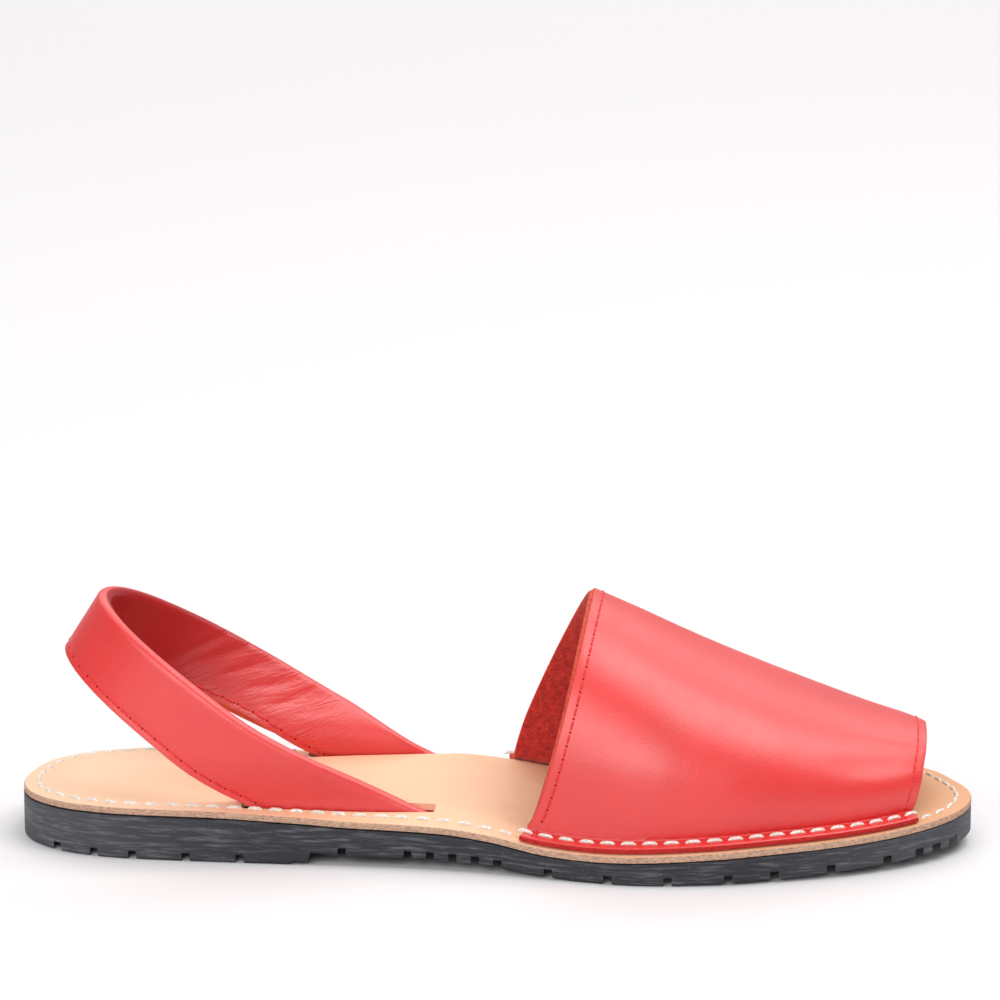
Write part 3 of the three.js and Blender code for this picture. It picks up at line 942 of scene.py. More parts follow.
# Painted shade: the dark inside of a needle hole, used by every dyed leather.
HOLE_SHADE = tone(172, 26, 27)
RED_SMOOTH = DyedLeather("Red leather", tone(222, 40, 37), 0.42, tone(170, 25, 26), HOLE_SHADE)
RED_STRAP = replace(RED_SMOOTH, name="Red strap leather")
RED_LINING = DyedLeather(
    "Red strap inside",
    tone(222, 41, 39),
    0.42,
    tone(146, 20, 22),
    HOLE_SHADE,
    wrinkles=1.1,
    # Painted shade on the strap's inside behind the heel, where little light reaches.
    deep=tone(142, 20, 22),
)
RED_SUEDE = Suede("Red suede", tone(226, 60, 49), 0.92, tone(158, 27, 23))
RED_EDGE = CutEdge("Cut red edge", tone(224, 96, 74), 0.85, tone(176, 54, 44))
RED_MARGIN = CutEdge("Margin's cut edge", tone(196, 46, 42), 0.85, tone(140, 26, 24))
TAN_FACE = NaturalLeather(
    "Natural leather",
    tone(241, 192, 157),
    0.58,
    tone(222, 165, 122),
    tone(216, 158, 114),
    # Painted light: the paler heel colour.
    tone(240, 203, 170),
)
TAN_EDGE = CutEdge("Cut natural edge", tone(204, 166, 142), 0.85, tone(148, 116, 98))
BLACK_RUBBER = Rubber(
    "Black rubber", tone(38, 40, 46), 0.6, tone(120, 122, 128), tone(168, 170, 174)
)
# The threads' second colours are painted shade for the grooves of the twist.
WHITE_THREAD = Thread("White thread", tone(250, 246, 238), 0.7, tone(214, 206, 196))
RED_THREAD = Thread("Red thread", tone(236, 48, 46), 0.5, tone(212, 38, 36))
PALE_FLOOR = Finish("Pale floor", tone(226, 224, 225), 0.9)


@dataclass(frozen=True)
class Grooves:
    """A run of grooves across the underside, as shares of the length."""

    start: float
    pitch: float
    count: int


@dataclass
class Outsole:
    """Rubber sole with a heel block, a raised waist and grooves across its underside."""

    last: Last
    heel_block: float = 0.3164
    heel_rest: float = 0.297
    nip: float = 0.7
    step_run: float = 0.6
    corner: float = 0.8
    proud_at_heel: float = 0.6
    proud_at_toe: float = -0.5
    groove_width: float = 2.2
    groove_depth: float = 2.0
    groove_corner: float = 0.2
    groove_draft: float = 0.04
    seam_depth: float = 0.16
    seam_height: float = 0.5
    seam_width: float = 0.035
    seam_run: tuple[float, float] = (195.0, 225.0)
    under_shares: tuple[float, ...] = (0.0, 0.15, 0.3, 0.45, 0.6, 0.75, 0.88, 0.96)
    corner_turns: tuple[float, ...] = (90, 65, 40, 15, 0)
    side_shares: tuple[float, ...] = (0.12, 0.3, 0.46, 0.5, 0.54, 0.72, 0.9, 1.0)
    inward_shares: tuple[float, ...] = (0.006, 0.02, 0.05, 0.1, 0.17, 0.28, 0.42)
    stations: int = 190
    end_angle: float = 0.02
    runs: tuple[Grooves, ...] = (
        Grooves(0.0492, 0.0414, 3),
        Grooves(0.1883, 0.0566, 2),
        Grooves(0.3516, 0.0684, 1),
        Grooves(0.42, 0.0234, 5),
        Grooves(0.5664, 0.0613, 4),
        Grooves(0.797, 0.0574, 3),
        Grooves(0.945, 0.0176, 3),
    )

    def lift(self, s: np.ndarray) -> np.ndarray:
        """Height of the underside above the floor."""
        last = self.last
        waist = last.heel * last.lift_share(np.asarray(s) / last.length)
        rest = np.clip((s - self.heel_rest * last.length) / self.step_run, 0, 1)
        block = np.clip((s - self.heel_block * last.length) / self.step_run, 0, 1)
        return mix(self.nip * rest, waist, block)

    def groove_middles(self) -> list[float]:
        """Places of the grooves along the sole."""
        return [
            self.last.length * (run.start + i * run.pitch)
            for run in self.runs
            for i in range(run.count)
        ]

    def station_rows(self) -> tuple[np.ndarray, np.ndarray]:
        """Places of the cross-sections and the height of the underside at each."""
        last, half, corner = self.last, self.groove_width / 2, self.groove_corner
        angle = np.linspace(self.end_angle, np.pi - self.end_angle, self.stations)
        places = last.length * (1 - np.cos(angle)) / 2
        for edge in (self.heel_rest * last.length, self.heel_block * last.length):
            places = np.append(places, [edge, edge + self.step_run])
        middles = self.groove_middles()
        clear = np.all([np.abs(places - m) > half + 2 * corner for m in middles], axis=0)
        rows = [(s, float(self.lift(s))) for s in places[clear]]
        for m in middles:
            top = float(self.lift(m)) + self.groove_depth
            for way in (-1, 1):
                low = float(self.lift(m + way * half))
                rows.append((m + way * (half + corner), low))
                rows.append((m + way * half, low + corner))
                rows.append((m + way * (half - self.groove_draft), top))
        rows.sort()
        return np.array([row[0] for row in rows]), np.array([row[1] for row in rows])

    def section(self, s: np.ndarray, under: np.ndarray) -> np.ndarray:
        """Closed cross-sections, mirrored point for point.

        Args:
            s: places along.
            under: height of the underside at each.

        Returns:
            Stations x points x 3 places.
        """
        last = self.last
        proud = mix(self.proud_at_heel, self.proud_at_toe, s / last.length)
        left, right = -last.outer_half(s) - proud, last.inner_half(s) + proud
        width = right - left
        centre = (left + right) / 2
        half = width / 2
        corner = np.minimum(self.corner, width / 5)
        across, height = [], []
        for share in self.under_shares:
            across.append((half - corner) * share)
            height.append(under)
        for turn in np.radians(self.corner_turns):
            across.append(half - corner * (1 - np.cos(turn)))
            height.append(under + self.corner * (1 - np.sin(turn)))
        top_edge = last.bed_level(s, right) - last.gap / 2
        seam = self.seam_depth * smoothstep(s, *self.seam_run)
        for share in self.side_shares:
            near_seam = math.exp(-(((share - self.seam_height) / self.seam_width) ** 2))
            across.append(half - seam * near_seam)
            height.append(mix(under + self.corner, top_edge, share))
        across += [half * (1 - 2 * share) for share in self.inward_shares]
        across.append(np.zeros_like(half))

        def column(k: int, way: int) -> np.ndarray:
            """Row k of places on one side, on the footbed's level beyond the listed heights."""
            y = centre + way * across[k]
            z = height[k] if k < len(height) else last.bed_level(s, y) - last.gap / 2
            return point(s, y, z, last.length)

        there = [column(k, 1) for k in range(len(across))]
        back = [column(k, -1) for k in reversed(range(len(across)))]
        return np.stack(there + back, axis=1)

    def build(self, strap: "HeelStrap", slots: "Slots") -> Object:
        """Makes the sole, with recesses for the strap's ends.

        Args:
            strap: the strap whose ends lie in it.
            slots: the footbed's slots.

        Returns:
            The finished piece.
        """
        s, under = self.station_rows()
        rings = self.section(s, under)
        mirrored = rings[:, ::-1]
        first, last_ring = (rings[:1] + mirrored[:1]) / 2, (rings[-1:] + mirrored[-1:]) / 2
        rings = np.concatenate([first, rings, last_ring])
        piece = grid_piece("outsole_rubber", rings)
        deep = self.last.gap + strap.fold + strap.pocket
        cutters = [strap.body("strap_pocket", strap.pocket)]
        cutters += [slots.cutter(side, deep) for side in Side]
        cut_away(piece, cutters)
        smooth_by_angle(piece, 32)
        piece.data.materials.append(BLACK_RUBBER.material())
        put_in_place(piece, "outsole")
        return piece


@dataclass(frozen=True)
class SlotLine:
    """Middle line of a slot, in millimetres from the heel end and from the middle of the foot."""

    start: float
    end: float
    start_across: float
    end_across: float

    def across(self, s: np.ndarray) -> np.ndarray:
        """Distance from the middle of the foot at places along."""
        share = np.minimum((s - self.start) / (self.end - self.start), 1)
        return mix(self.start_across, self.end_across, share)


@dataclass
class Slots:
    """The two slots of the footbed that the strap's ends pass through."""

    last: Last
    play: float = 0.5
    corner: float = 1.0
    corner_steps: int = 4
    strap_fold: float = 4.0
    outer: SlotLine = SlotLine(0.245 * LENGTH, 0.446 * LENGTH, 0.571 * BALL, 0.571 * BALL)
    inner: SlotLine = SlotLine(0.292 * LENGTH, 0.446 * LENGTH, 0.44 * BALL, 0.607 * BALL)

    def across(self, side: np.ndarray, s: np.ndarray) -> np.ndarray:
        """Distance of a slot's middle line from the middle of the foot.

        Args:
            side: -1 on the outer side, 1 on the inner side.
            s: places along.

        Returns:
            The distance at each place.
        """
        return np.where(side < 0, self.outer.across(s), self.inner.across(s))

    def cutter(self, side: Side, deep: float) -> Object:
        """A rounded box through the footbed.

        Args:
            side: which slot.
            deep: how far it reaches below the footbed's underside.

        Returns:
            The box, closed.
        """
        line = self.outer if side is Side.OUTER else self.inner
        s = (line.start + line.end) / 2
        y = side.value * (line.start_across + line.end_across) / 2
        along = line.end - line.start
        aside = side.value * (line.end_across - line.start_across)
        height = 2 * self.last.heel
        floor = float(self.last.bed_under(np.array(s), np.array(y))) - deep
        centre = (s - self.last.length / 2, y, floor + height / 2)
        turn = (0, 0, math.atan2(aside, along))
        deselect()
        bpy.ops.mesh.primitive_cube_add(size=1, location=[MM * c for c in centre], rotation=turn)
        box = bpy.context.object
        box.name = "slot_cutter"
        width = self.strap_fold + 2 * self.play
        box.scale = (MM * math.hypot(along, aside), MM * width, MM * height)
        bpy.ops.object.transform_apply(location=True, rotation=True, scale=True)
        bpy.ops.object.mode_set(mode="EDIT")
        bpy.ops.mesh.select_mode(type="EDGE")
        bpy.ops.mesh.select_all(action="DESELECT")
        bpy.ops.object.mode_set(mode="OBJECT")
        for edge in box.data.edges:
            a, b = (box.data.vertices[i].co for i in edge.vertices)
            edge.select = abs(a.z - b.z) > MM
        bpy.ops.object.mode_set(mode="EDIT")
        bpy.ops.mesh.bevel(offset=MM * self.corner, segments=self.corner_steps)
        bpy.ops.object.mode_set(mode="OBJECT")
        return box


@dataclass
class Insole:
    """Leather footbed whose rim droops to the rubber, with a rounded raw edge."""

    last: Last
    edge_radius: float = 0.45
    stitch_inset: float = 3.9
    channel: float = 0.14
    channel_width: float = 0.45
    under_round: float = 0.4
    edge_rows: int = 4
    insets: tuple[float, ...] = (
        *(0.1, 0.25, 0.45, 0.9, 1.6, 2.6, 3.1, 3.5),
        *(3.9, 4.3, 4.8, 5.6, 6.8, 8.4, 10, 12),
    )
    spine_shares: tuple[float, ...] = (0.1, 0.22, 0.35, 0.48, 0.6, 0.72, 0.84, 0.93, 1.0)

    def face(self) -> list[np.ndarray]:
        """Rows of (s, y) places from the edge to the middle line."""
        rows = [self.last.ring(d) for d in (0.0, *self.insets)]
        rim = rows[-1]
        paired = np.roll(rim[::-1], 1, axis=0)
        spine = (rim + paired) / 2
        rows += [mix(rim, spine, share) for share in self.spine_shares]
        return rows

    def build(self, slots: Slots) -> Object:
        """Makes the footbed with its two slots."""
        last = self.last
        rows = self.face()
        distances = [0.0, *self.insets] + [WELL_INSIDE] * len(self.spine_shares)
        top, under = [], []
        for place, distance in zip(rows, distances):
            s, y = place[:, 0], place[:, 1]
            rounded = edge_round(np.array(distance), self.edge_radius, self.edge_radius)
            drop = self.edge_radius - rounded
            off_line = (distance - self.stitch_inset) / self.channel_width
            groove = self.channel * math.exp(-(off_line**2))
            top.append(point(s, y, last.bed_top(s, y) - drop - groove, last.length))
            under.append(point(s, y, last.bed_under(s, y) + self.under_round * drop, last.length))
        middle = [(top[0] + under[0]) / 2]
        points = np.stack(under[::-1] + middle + top)
        points = np.concatenate([points, points[:, :1]], axis=1)
        rim = len(rows) - 1
        faces = np.zeros((points.shape[0] - 1, points.shape[1] - 1), int)
        faces[: rim + self.edge_rows] = 1
        piece = grid_piece("insole_leather", points, material_rows=faces)
        cut_away(piece, [slots.cutter(side, last.heel) for side in Side])
        smooth_by_angle(piece, 40)
        for finish in (TAN_FACE, TAN_EDGE):
            piece.data.materials.append(finish.material())
        put_in_place(piece, "insole")
        return piece


@dataclass(frozen=True)
class End:
    """One end of the vamp, in millimetres from the heel end and across."""

    outer: float
    ridge: float
    inner: float
    bulge: float
    middle: float

    def foot(self, side: Side) -> float:
        """Place of the foot of the wall on one side."""
        return self.outer if side is Side.OUTER else self.inner


@dataclass(frozen=True)
class Dent:
    """A soft hollow or swelling of a piece, by its place in the piece's map and its size."""

    along: float
    around: float
    length: float
    width: float
    turn: float
    depth: float

    def press(self, x: np.ndarray, y: np.ndarray) -> np.ndarray:
        """How far it moves the surface at places in millimetres from its own middle."""
        turn = math.radians(self.turn)
        a = (x * math.cos(turn) + y * math.sin(turn)) / self.length
        b = (-x * math.sin(turn) + y * math.cos(turn)) / self.width
        return self.depth * np.exp(-(a**2) - b**2)


@dataclass
class Vamp:
    """Red leather arch, smooth outside and suede inside, with turned-out margins."""

    last: Last
    wall: float = 1.8
    seat_gap: float = 0.15
    rim_shown: float = 1.3
    margin: float = 5.2
    crease: float = 1.2
    throat_height: float = 66.2
    throat: End = End(0.5438 * LENGTH, 0.6008 * LENGTH, 0.5117 * LENGTH, 0.083 * BALL, 0.104 * BALL)
    toe: End = End(0.9355 * LENGTH, 0.9516 * LENGTH, 0.9395 * LENGTH, 0.017 * BALL, 0.083 * BALL)
    lean: tuple[float, float] = (0.72, 1.15)
    fullness: tuple[float, float] = (2.2, 2.5)
    margin_share: float = 0.16
    crease_share: float = 0.06
    margin_ahead: float = 2.0
    corner: float = 0.35
    along_steps: int = 110
    around_steps: int = 150
    margin_corner: float = 0.7
    usual_girth: float = 95.0
    fine_steps: int = 2000
    end_rows: tuple[float, ...] = (0, 0, 0.05, 0.12, 0.22, 0.35)
    margin_rows: tuple[float, ...] = (0, 0, 0.05, 0.18, 0.4, 0.68, 1)
    skive: float = 0.9
    skive_run: float = 3.0
    throat_line: float = 2.6
    toe_line: float = 2.7
    stitch_pitch: float = 3.6
    ridge: tuple[tuple[float, float], ...] = (
        (0, 1),
        (0.12, 0.927),
        (0.35, 0.781),
        (0.6, 0.641),
        (0.85, 0.518),
        (1, 0.461),
    )
    dents: tuple[Dent, ...] = (
        Dent(0.86, -0.44, 15, 9, 12, -0.8),
        Dent(0.87, -0.26, 10, 5, 0, 0.35),
        Dent(0.18, -0.6, 22, 10, 20, 0.35),
        Dent(0.45, -0.25, 30, 16, 10, 0.4),
        Dent(0.7, 0.4, 20, 10, -40, -0.4),
    )

    @property
    def run(self) -> float:
        """Length of the arch from throat to toe opening, along its outer foot."""
        return self.toe.outer - self.throat.outer

    def middle(self, u: np.ndarray, v: np.ndarray) -> np.ndarray:
        """Middle of the leather's thickness.

        Args:
            u: share of the way from throat to toe opening.
            v: share around, from the outer margin's edge (-1) to the inner margin's edge (1).

        Returns:
            Places in millimetres.
        """
        u, v = np.broadcast_arrays(np.asarray(u, float), np.asarray(v, float))
        outer = self.half(u, v, Side.OUTER)
        inner = self.half(u, v, Side.INNER)
        return np.where((v < 0)[..., None], outer, inner)

    def half(self, u: np.ndarray, v: np.ndarray, side: Side) -> np.ndarray:
        """Middle of the leather on one side of the ridge."""
        last = self.last
        which = 0 if side is Side.OUTER else 1
        reach = self.rim_shown + self.margin
        foot_s = mix(self.throat.foot(side), self.toe.foot(side), u)
        foot_y = last.inset(side, reach, foot_s)
        edge_s = foot_s + mix(-self.margin_ahead, self.margin_ahead, u)
        edge_y = last.inset(side, self.rim_shown, edge_s)
        out = np.hypot(edge_s - foot_s, edge_y - foot_y)
        bend_start = 1 - self.margin_share - self.crease_share
        distance = np.abs(v)

        def lying(s: np.ndarray, y: np.ndarray) -> np.ndarray:
            """Height of the margin's middle over the footbed."""
            return last.bed_top(s, y) + self.seat_gap + self.wall / 2

        def outward(share: np.ndarray) -> tuple[np.ndarray, np.ndarray]:
            """Place between foot and margin's edge."""
            return mix(foot_s, edge_s, share), mix(foot_y, edge_y, share)

        flat = np.clip((distance - 1 + self.margin_share) / self.margin_share, 0, 1)
        s1, y1 = outward(mix(self.crease / out, 1, flat))
        strip = point(s1, y1, lying(s1, y1), last.length)
        foot = lying(foot_s, foot_y)
        turned = np.clip((1 - self.margin_share - distance) / self.crease_share, 0, 1) * np.pi / 2
        s2, y2 = outward(self.crease * (1 - np.sin(turned)) / out)
        z2 = mix(lying(s2, y2), foot, np.sin(turned)) + self.crease * (1 - np.cos(turned))
        bend = point(s2, y2, z2, last.length)
        angle = np.clip(1 - distance / bend_start, 0, 1) * np.pi / 2
        power = 2 / self.fullness[which]
        climb = np.sin(angle) ** power
        spread = np.cos(angle) ** power
        table = np.array(self.ridge, float)
        ridge = self.throat_height * through(table[:, 0], table[:, 1])(u) - self.wall / 2
        bulge = mix(self.throat.bulge, self.toe.bulge, u) * np.sin(2 * angle)
        centre = mix(self.throat.middle, self.toe.middle, u)
        ridge_s = mix(self.throat.ridge, self.toe.ridge, u)
        s3 = mix(foot_s, ridge_s, climb ** self.lean[which])
        y3 = mix(centre, foot_y, spread) + side.value * bulge
        arch = point(s3, y3, mix(foot + self.crease, ridge, climb), last.length)
        result = np.where((distance > bend_start)[..., None], bend, arch)
        return np.where((distance > 1 - self.margin_share)[..., None], strip, result)

    def normal(self, u: np.ndarray, v: np.ndarray) -> np.ndarray:
        """Direction out of the leather."""
        before, after = np.clip(u - NEAR, 0, 1), np.clip(u + NEAR, 0, 1)
        ahead = self.middle(after, v) - self.middle(before, v)
        left, right = np.clip(v - NEAR, -1, 1), np.clip(v + NEAR, -1, 1)
        aside = self.middle(u, right) - self.middle(u, left)
        return unit(np.cross(ahead, aside))

    def hollow(self, u: np.ndarray, v: np.ndarray) -> np.ndarray:
        """How far the soft leather swells out (+) or dents in (-)."""
        total = sum(
            dent.press((u - dent.along) * self.run, (v - dent.around) * self.usual_girth)
            for dent in self.dents
        )
        return total * smoothstep(1 - np.abs(v), self.margin_share + self.crease_share, 0.4)

    def surface(self, u: np.ndarray, v: np.ndarray, off: np.ndarray) -> np.ndarray:
        """Places at a distance off the leather's middle."""
        return self.middle(u, v) + self.normal(u, v) * (off + self.hollow(u, v))[..., None]

    def girth(self, u: float, v: np.ndarray) -> np.ndarray:
        """Distance round the arch from halfway, in millimetres, at one share along."""
        fine = np.linspace(-1, 1, self.fine_steps + 1)
        path = self.middle(np.full_like(fine, u), fine)
        gone = gone_along(path)
        return np.interp(v, fine, gone - gone[-1] / 2)

    def toe_stretch(self) -> float:
        """How many times longer the throat is round the arch than the toe opening."""
        ends = np.array([-1.0, 1.0])
        return float(np.ptp(self.girth(0.0, ends)) / np.ptp(self.girth(1.0, ends)))

    def around(self) -> tuple[np.ndarray, np.ndarray]:
        """Shares around the arch, and how far each lies inside the margins' edges."""
        per_mm = self.margin_share / (self.margin - self.crease)
        rim = self.margin_corner * np.array(self.margin_rows)
        start = rim[-1] * per_mm
        flat = np.linspace(start, self.margin_share, 12)[1:]
        bend = self.margin_share + np.linspace(0, self.crease_share, 8)[1:]
        wall = np.linspace(self.margin_share + self.crease_share, 1, self.around_steps // 2)[1:]
        inwards = np.concatenate([rim * per_mm, flat, bend, wall])
        v = np.concatenate([-1 + inwards, (1 - inwards)[-2::-1]])
        count = len(inwards)
        distance = np.concatenate([rim, np.full(count - len(rim), WELL_INSIDE)])
        distance = np.concatenate([distance, distance[-2::-1]])
        return v, distance

    def build(self) -> Object:
        """Makes the arch as one closed sheet of leather."""
        v, from_margin = self.around()
        run = self.run
        rim = np.array(self.end_rows)
        inner_steps = np.linspace(rim[-1] / run, 1 - rim[-1] / run, self.along_steps)[1:-1]
        u = np.concatenate([rim / run, inner_steps, 1 - rim[::-1] / run])
        from_end = np.concatenate([rim, np.full(len(inner_steps), WELL_INSIDE), rim[::-1]])
        grid_u, grid_v = np.meshgrid(u, v, indexing="ij")
        half = np.minimum(
            edge_round(from_end[:, None], self.wall / 2, self.corner),
            edge_round(from_margin[None, :], self.wall / 2, self.margin_corner),
        )
        half[0, :] = half[-1, :] = 0
        half[:, 0] = half[:, -1] = 0
        centre, normal = self.middle(grid_u, grid_v), self.normal(grid_u, grid_v)
        swell = self.hollow(grid_u, grid_v)
        out = centre + normal * (half + swell)[..., None]
        into = centre + normal * (swell - half)[..., None]
        ahead = unit(self.middle(grid_u + NEAR, grid_v) - centre)
        fade = np.clip(1 - grid_u * run / self.skive_run, 0, 1)
        fade = fade * smoothstep(1 - np.abs(grid_v), self.margin_share, 0.3)
        into -= ahead * self.skive * fade[..., None]
        out[0] = into[0] = (out[1] + into[1]) / 2
        points = np.concatenate([out, into[::-1][1:]])
        girth = self.girth(0.0, v)
        uv = np.stack(np.broadcast_arrays(girth[None, :], (u * run)[:, None]), axis=-1)
        uv = np.concatenate([uv, uv[::-1][1:]])
        rows, columns = len(u) - 1, len(v) - 1
        faces = np.zeros((2 * rows, columns), int)
        faces[rows:] = 1
        for edge in (slice(0, 3), slice(rows - 3, rows + 3), slice(2 * rows - 3, 2 * rows)):
            faces[edge] = 2
        faces[:, :3] = 3
        faces[:, -3:] = 3
        piece = grid_piece("vamp_leather", points, uv, faces)
        smooth_by_angle(piece, 50)
        stretched = self.stitch_pitch * self.toe_stretch()
        holes = ((self.throat_line, self.stitch_pitch), (run - self.toe_line, stretched))
        for finish in (replace(RED_SMOOTH, holes=holes), RED_SUEDE, RED_EDGE, RED_MARGIN):
            piece.data.materials.append(finish.material())
        put_in_place(piece, "vamp")
        return piece


@dataclass
class HeelStrap:
    """Folded leather strap, round over the top and stitched through both layers below."""

    last: Last
    slots: Slots
    width: float = 20.0
    fold: float = 4.0
    raw: float = 3.2
    half_loop: float = 0.642 * BALL
    loop: float = 0.176 * LENGTH
    square: float = 2.02
    start: float = 0.072 * LENGTH
    end: float = 0.492 * LENGTH
    dip: float = 0.035 * BALL
    narrow: float = 0.07
    pocket: float = 0.45
    spread: float = 14.0
    tilt: float = 40.0
    tilt_from: float = 0.086 * LENGTH
    tilt_to: float = 0.25 * LENGTH
    rise: float = 0.022 * STRAP_TOP
    rise_from: float = 0.117 * LENGTH
    top: float = STRAP_TOP
    round_share: float = 0.42
    stitch_line: float = -8.2
    stitch_pitch: float = 4.4
    lip: float = 0.06
    bend_share: float = 0.6
    pinch: float = 0.16
    pinch_width: float = 0.9
    plain_steps: int = 90
    fine_steps: int = 1200
    near_run: float = 0.002
    near_across: float = 0.1
    steps: int = 460
    fall: tuple[tuple[float, float], ...] = (
        (0.072, 1),
        (0.1563, 0.752),
        (0.2344, 0.516),
        (0.293, 0.364),
        (0.3516, 0.228),
        (0.4102, 0.098),
        (0.5078, -0.105),
    )
    creases: tuple[Dent, ...] = (
        Dent(43, 5.0, 6.5, 1.1, 58, 0.55),
        Dent(47, 2.5, 5.0, 0.9, 52, 0.4),
        Dent(50.5, 5.2, 6.0, 1.2, 56, 0.6),
        Dent(54, 0.6, 4.5, 0.9, 48, 0.36),
        Dent(57, 4.2, 6.5, 1.1, 52, 0.5),
        Dent(61, 6.0, 3.5, 0.9, 60, 0.32),
        Dent(62, 0.0, 5.0, 1.0, 46, 0.4),
        Dent(66, 3.2, 5.5, 1.2, 50, 0.42),
        Dent(70, -1.2, 4.5, 1.0, 44, 0.34),
        Dent(73, 4.0, 4.0, 1.1, 50, 0.26),
        Dent(78, 0.8, 5.0, 1.3, 42, 0.26),
    )

    def height(self, s: np.ndarray) -> np.ndarray:
        """Height of the strap's middle in side view."""
        table = np.array(self.fall, float)
        return self.top * through(table[:, 0], table[:, 1])(np.asarray(s) / self.last.length)

    def middle(self, run: np.ndarray, w: np.ndarray) -> np.ndarray:
        """Middle of the strap's thickness.

        Args:
            run: from one end (-1) over the heel (0) to the other (1).
            w: place across the strap in millimetres, positive towards the fold.

        Returns:
            Places in millimetres.
        """
        run, w = np.broadcast_arrays(np.asarray(run, float), np.asarray(w, float))
        last = self.last
        side = np.where(run < 0, -1.0, 1.0)
        share = np.abs(run)
        turned = np.minimum(share / self.round_share, 1)
        straight = np.maximum(share - self.round_share, 0) / (1 - self.round_share)
        angle = turned * np.pi / 2
        power = 2 / self.square
        loop_s = self.start + self.loop * (1 - np.cos(angle) ** power)
        loop_half = self.half_loop * np.sin(angle) ** power
        middle = loop_s + straight * (self.end - self.start - self.loop)
        near = np.maximum(middle, self.start + 1)
        lean = np.arctan((self.height(near - 1) - self.height(near + 1)) / 2)
        narrow = np.where(w > 0, self.narrow * np.cos(angle) ** 2, 0)
        inner = np.where(side > 0, 1.0, 0.0)
        tilt = inner * math.radians(self.tilt) * smoothstep(middle, self.tilt_from, self.tilt_to)
        below = self.width / 2 - w
        rise = (self.width / 2 - below * np.cos(tilt)) * (1 - 2 * narrow)
        s = middle + rise * np.sin(lean)
        outward = side * loop_half / self.half_loop
        dip = self.dip / 2 * (outward - outward**2) * (1 - straight) ** 2
        ease = smoothstep(middle, self.rise_from, self.tilt_to) * np.cos(np.pi * straight)
        z = self.height(middle) + dip + inner * self.rise * ease + rise * np.cos(lean)
        slot_y = self.slots.across(side, s)
        bend_radius = self.bend_share * self.fold

        def level(y: np.ndarray) -> np.ndarray:
            """Height of a strap that lies flat under the footbed."""
            return last.bed_under(s, side * y) - last.gap - self.fold / 2

        bend = level(slot_y - bend_radius) + bend_radius
        above = z - bend
        spread = smoothstep(above - last.bed - last.gap, 0, self.spread)
        half = mix(slot_y, loop_half - below * np.sin(tilt), spread)
        standing = point(s, side * half, z, last.length)
        turned_in = np.clip(-above, 0, bend_radius * np.pi / 2)
        turn = turned_in / bend_radius
        y = slot_y - bend_radius * (1 - np.cos(turn)) - (np.maximum(-above, 0) - turned_in)
        low = np.where(-above > turned_in, level(y), bend - bend_radius * np.sin(turn))
        lying = point(s, side * y, low, last.length)
        return np.where((above >= 0)[..., None], standing, lying)

    def along(self, run: np.ndarray) -> np.ndarray:
        """Distance from the heel along the strap's middle line, in millimetres."""
        fine = np.linspace(-1, 1, self.fine_steps + 1)
        path = self.middle(fine, np.zeros_like(fine))
        gone = gone_along(path)
        return np.interp(run, fine, gone - gone[len(gone) // 2])

    def frame(self, run: np.ndarray, w: np.ndarray) -> tuple[np.ndarray, np.ndarray, np.ndarray]:
        """Middle of the strap, its direction along and its direction outwards."""
        centre = self.middle(run, w)
        along = self.middle(run + self.near_run, w) - self.middle(run - self.near_run, w)
        rise = self.middle(run, w + self.near_across) - self.middle(run, w - self.near_across)
        return centre, unit(along), unit(np.cross(rise, along))

    def half_thickness(self, w: np.ndarray) -> np.ndarray:
        """Half of the strap's thickness: round at the fold, pinched at the stitches."""
        half_width = self.width / 2
        share = (w / half_width + 1) / 2
        body = mix(self.raw, self.fold, share) / 2
        pinch = self.pinch * np.exp(-(((w - self.stitch_line) / self.pinch_width) ** 2))
        radius = self.fold / 2
        to_fold = np.clip(half_width - w, 0, radius)
        rounding = np.sqrt(np.maximum(1 - (1 - to_fold / radius) ** 2, 0))
        return np.maximum((body - pinch) * np.where(w > half_width - radius, rounding, 1), 0.0)

    def across(self) -> np.ndarray:
        """Places across the strap at which it is measured."""
        half = self.width / 2
        low = np.array([-half, -half + 0.12, -half + 0.35, -half + 0.75])
        line = self.stitch_line + np.array([-1.1, -0.5, 0, 0.5, 1.1])
        body = np.linspace(self.stitch_line + 2.2, half - 2.4, 22)
        angle = np.radians([12, 27, 42, 56, 69, 80, 90])
        top = half - self.fold / 2 * (1 - np.sin(angle))
        return np.concatenate([low, line, body, top])

    def body(self, name: str, clearance: float = 0.0) -> Object:
        """The strap as a plain closed band, grown by a clearance, as for its recess."""
        run = np.linspace(-1, 1, self.plain_steps + 1)
        run[0] -= clearance / self.end
        run[-1] += clearance / self.end
        share = np.array([-1, -0.92, -0.6, -0.2, 0.2, 0.55, 0.8, 0.93, 1.0])
        thick = np.array([0.9, 1, 1, 1, 1, 1, 1, 0.8, 0.45])
        w = share * (self.width / 2 + clearance)
        half = thick * mix(self.raw, self.fold, (share + 1) / 2) / 2 + clearance
        centre, _, normal = self.frame(run[:, None], w[None, :])
        out = centre + normal * half[None, :, None]
        into = centre - normal * half[None, :, None]
        ring = np.concatenate([out, into[:, ::-1], out[:, :1]], axis=1)
        middles = (out + into) / 2
        caps = np.concatenate([middles, middles[:, ::-1], middles[:, :1]], axis=1)
        points = np.concatenate([caps[:1], ring, caps[-1:]])
        return grid_piece(name, points)

    def wrinkle(self, along: np.ndarray, w: np.ndarray) -> np.ndarray:
        """Depth of the creases pressed into the strap's inner face."""
        return sum(c.press(along - c.along, w - c.around) for c in self.creases)

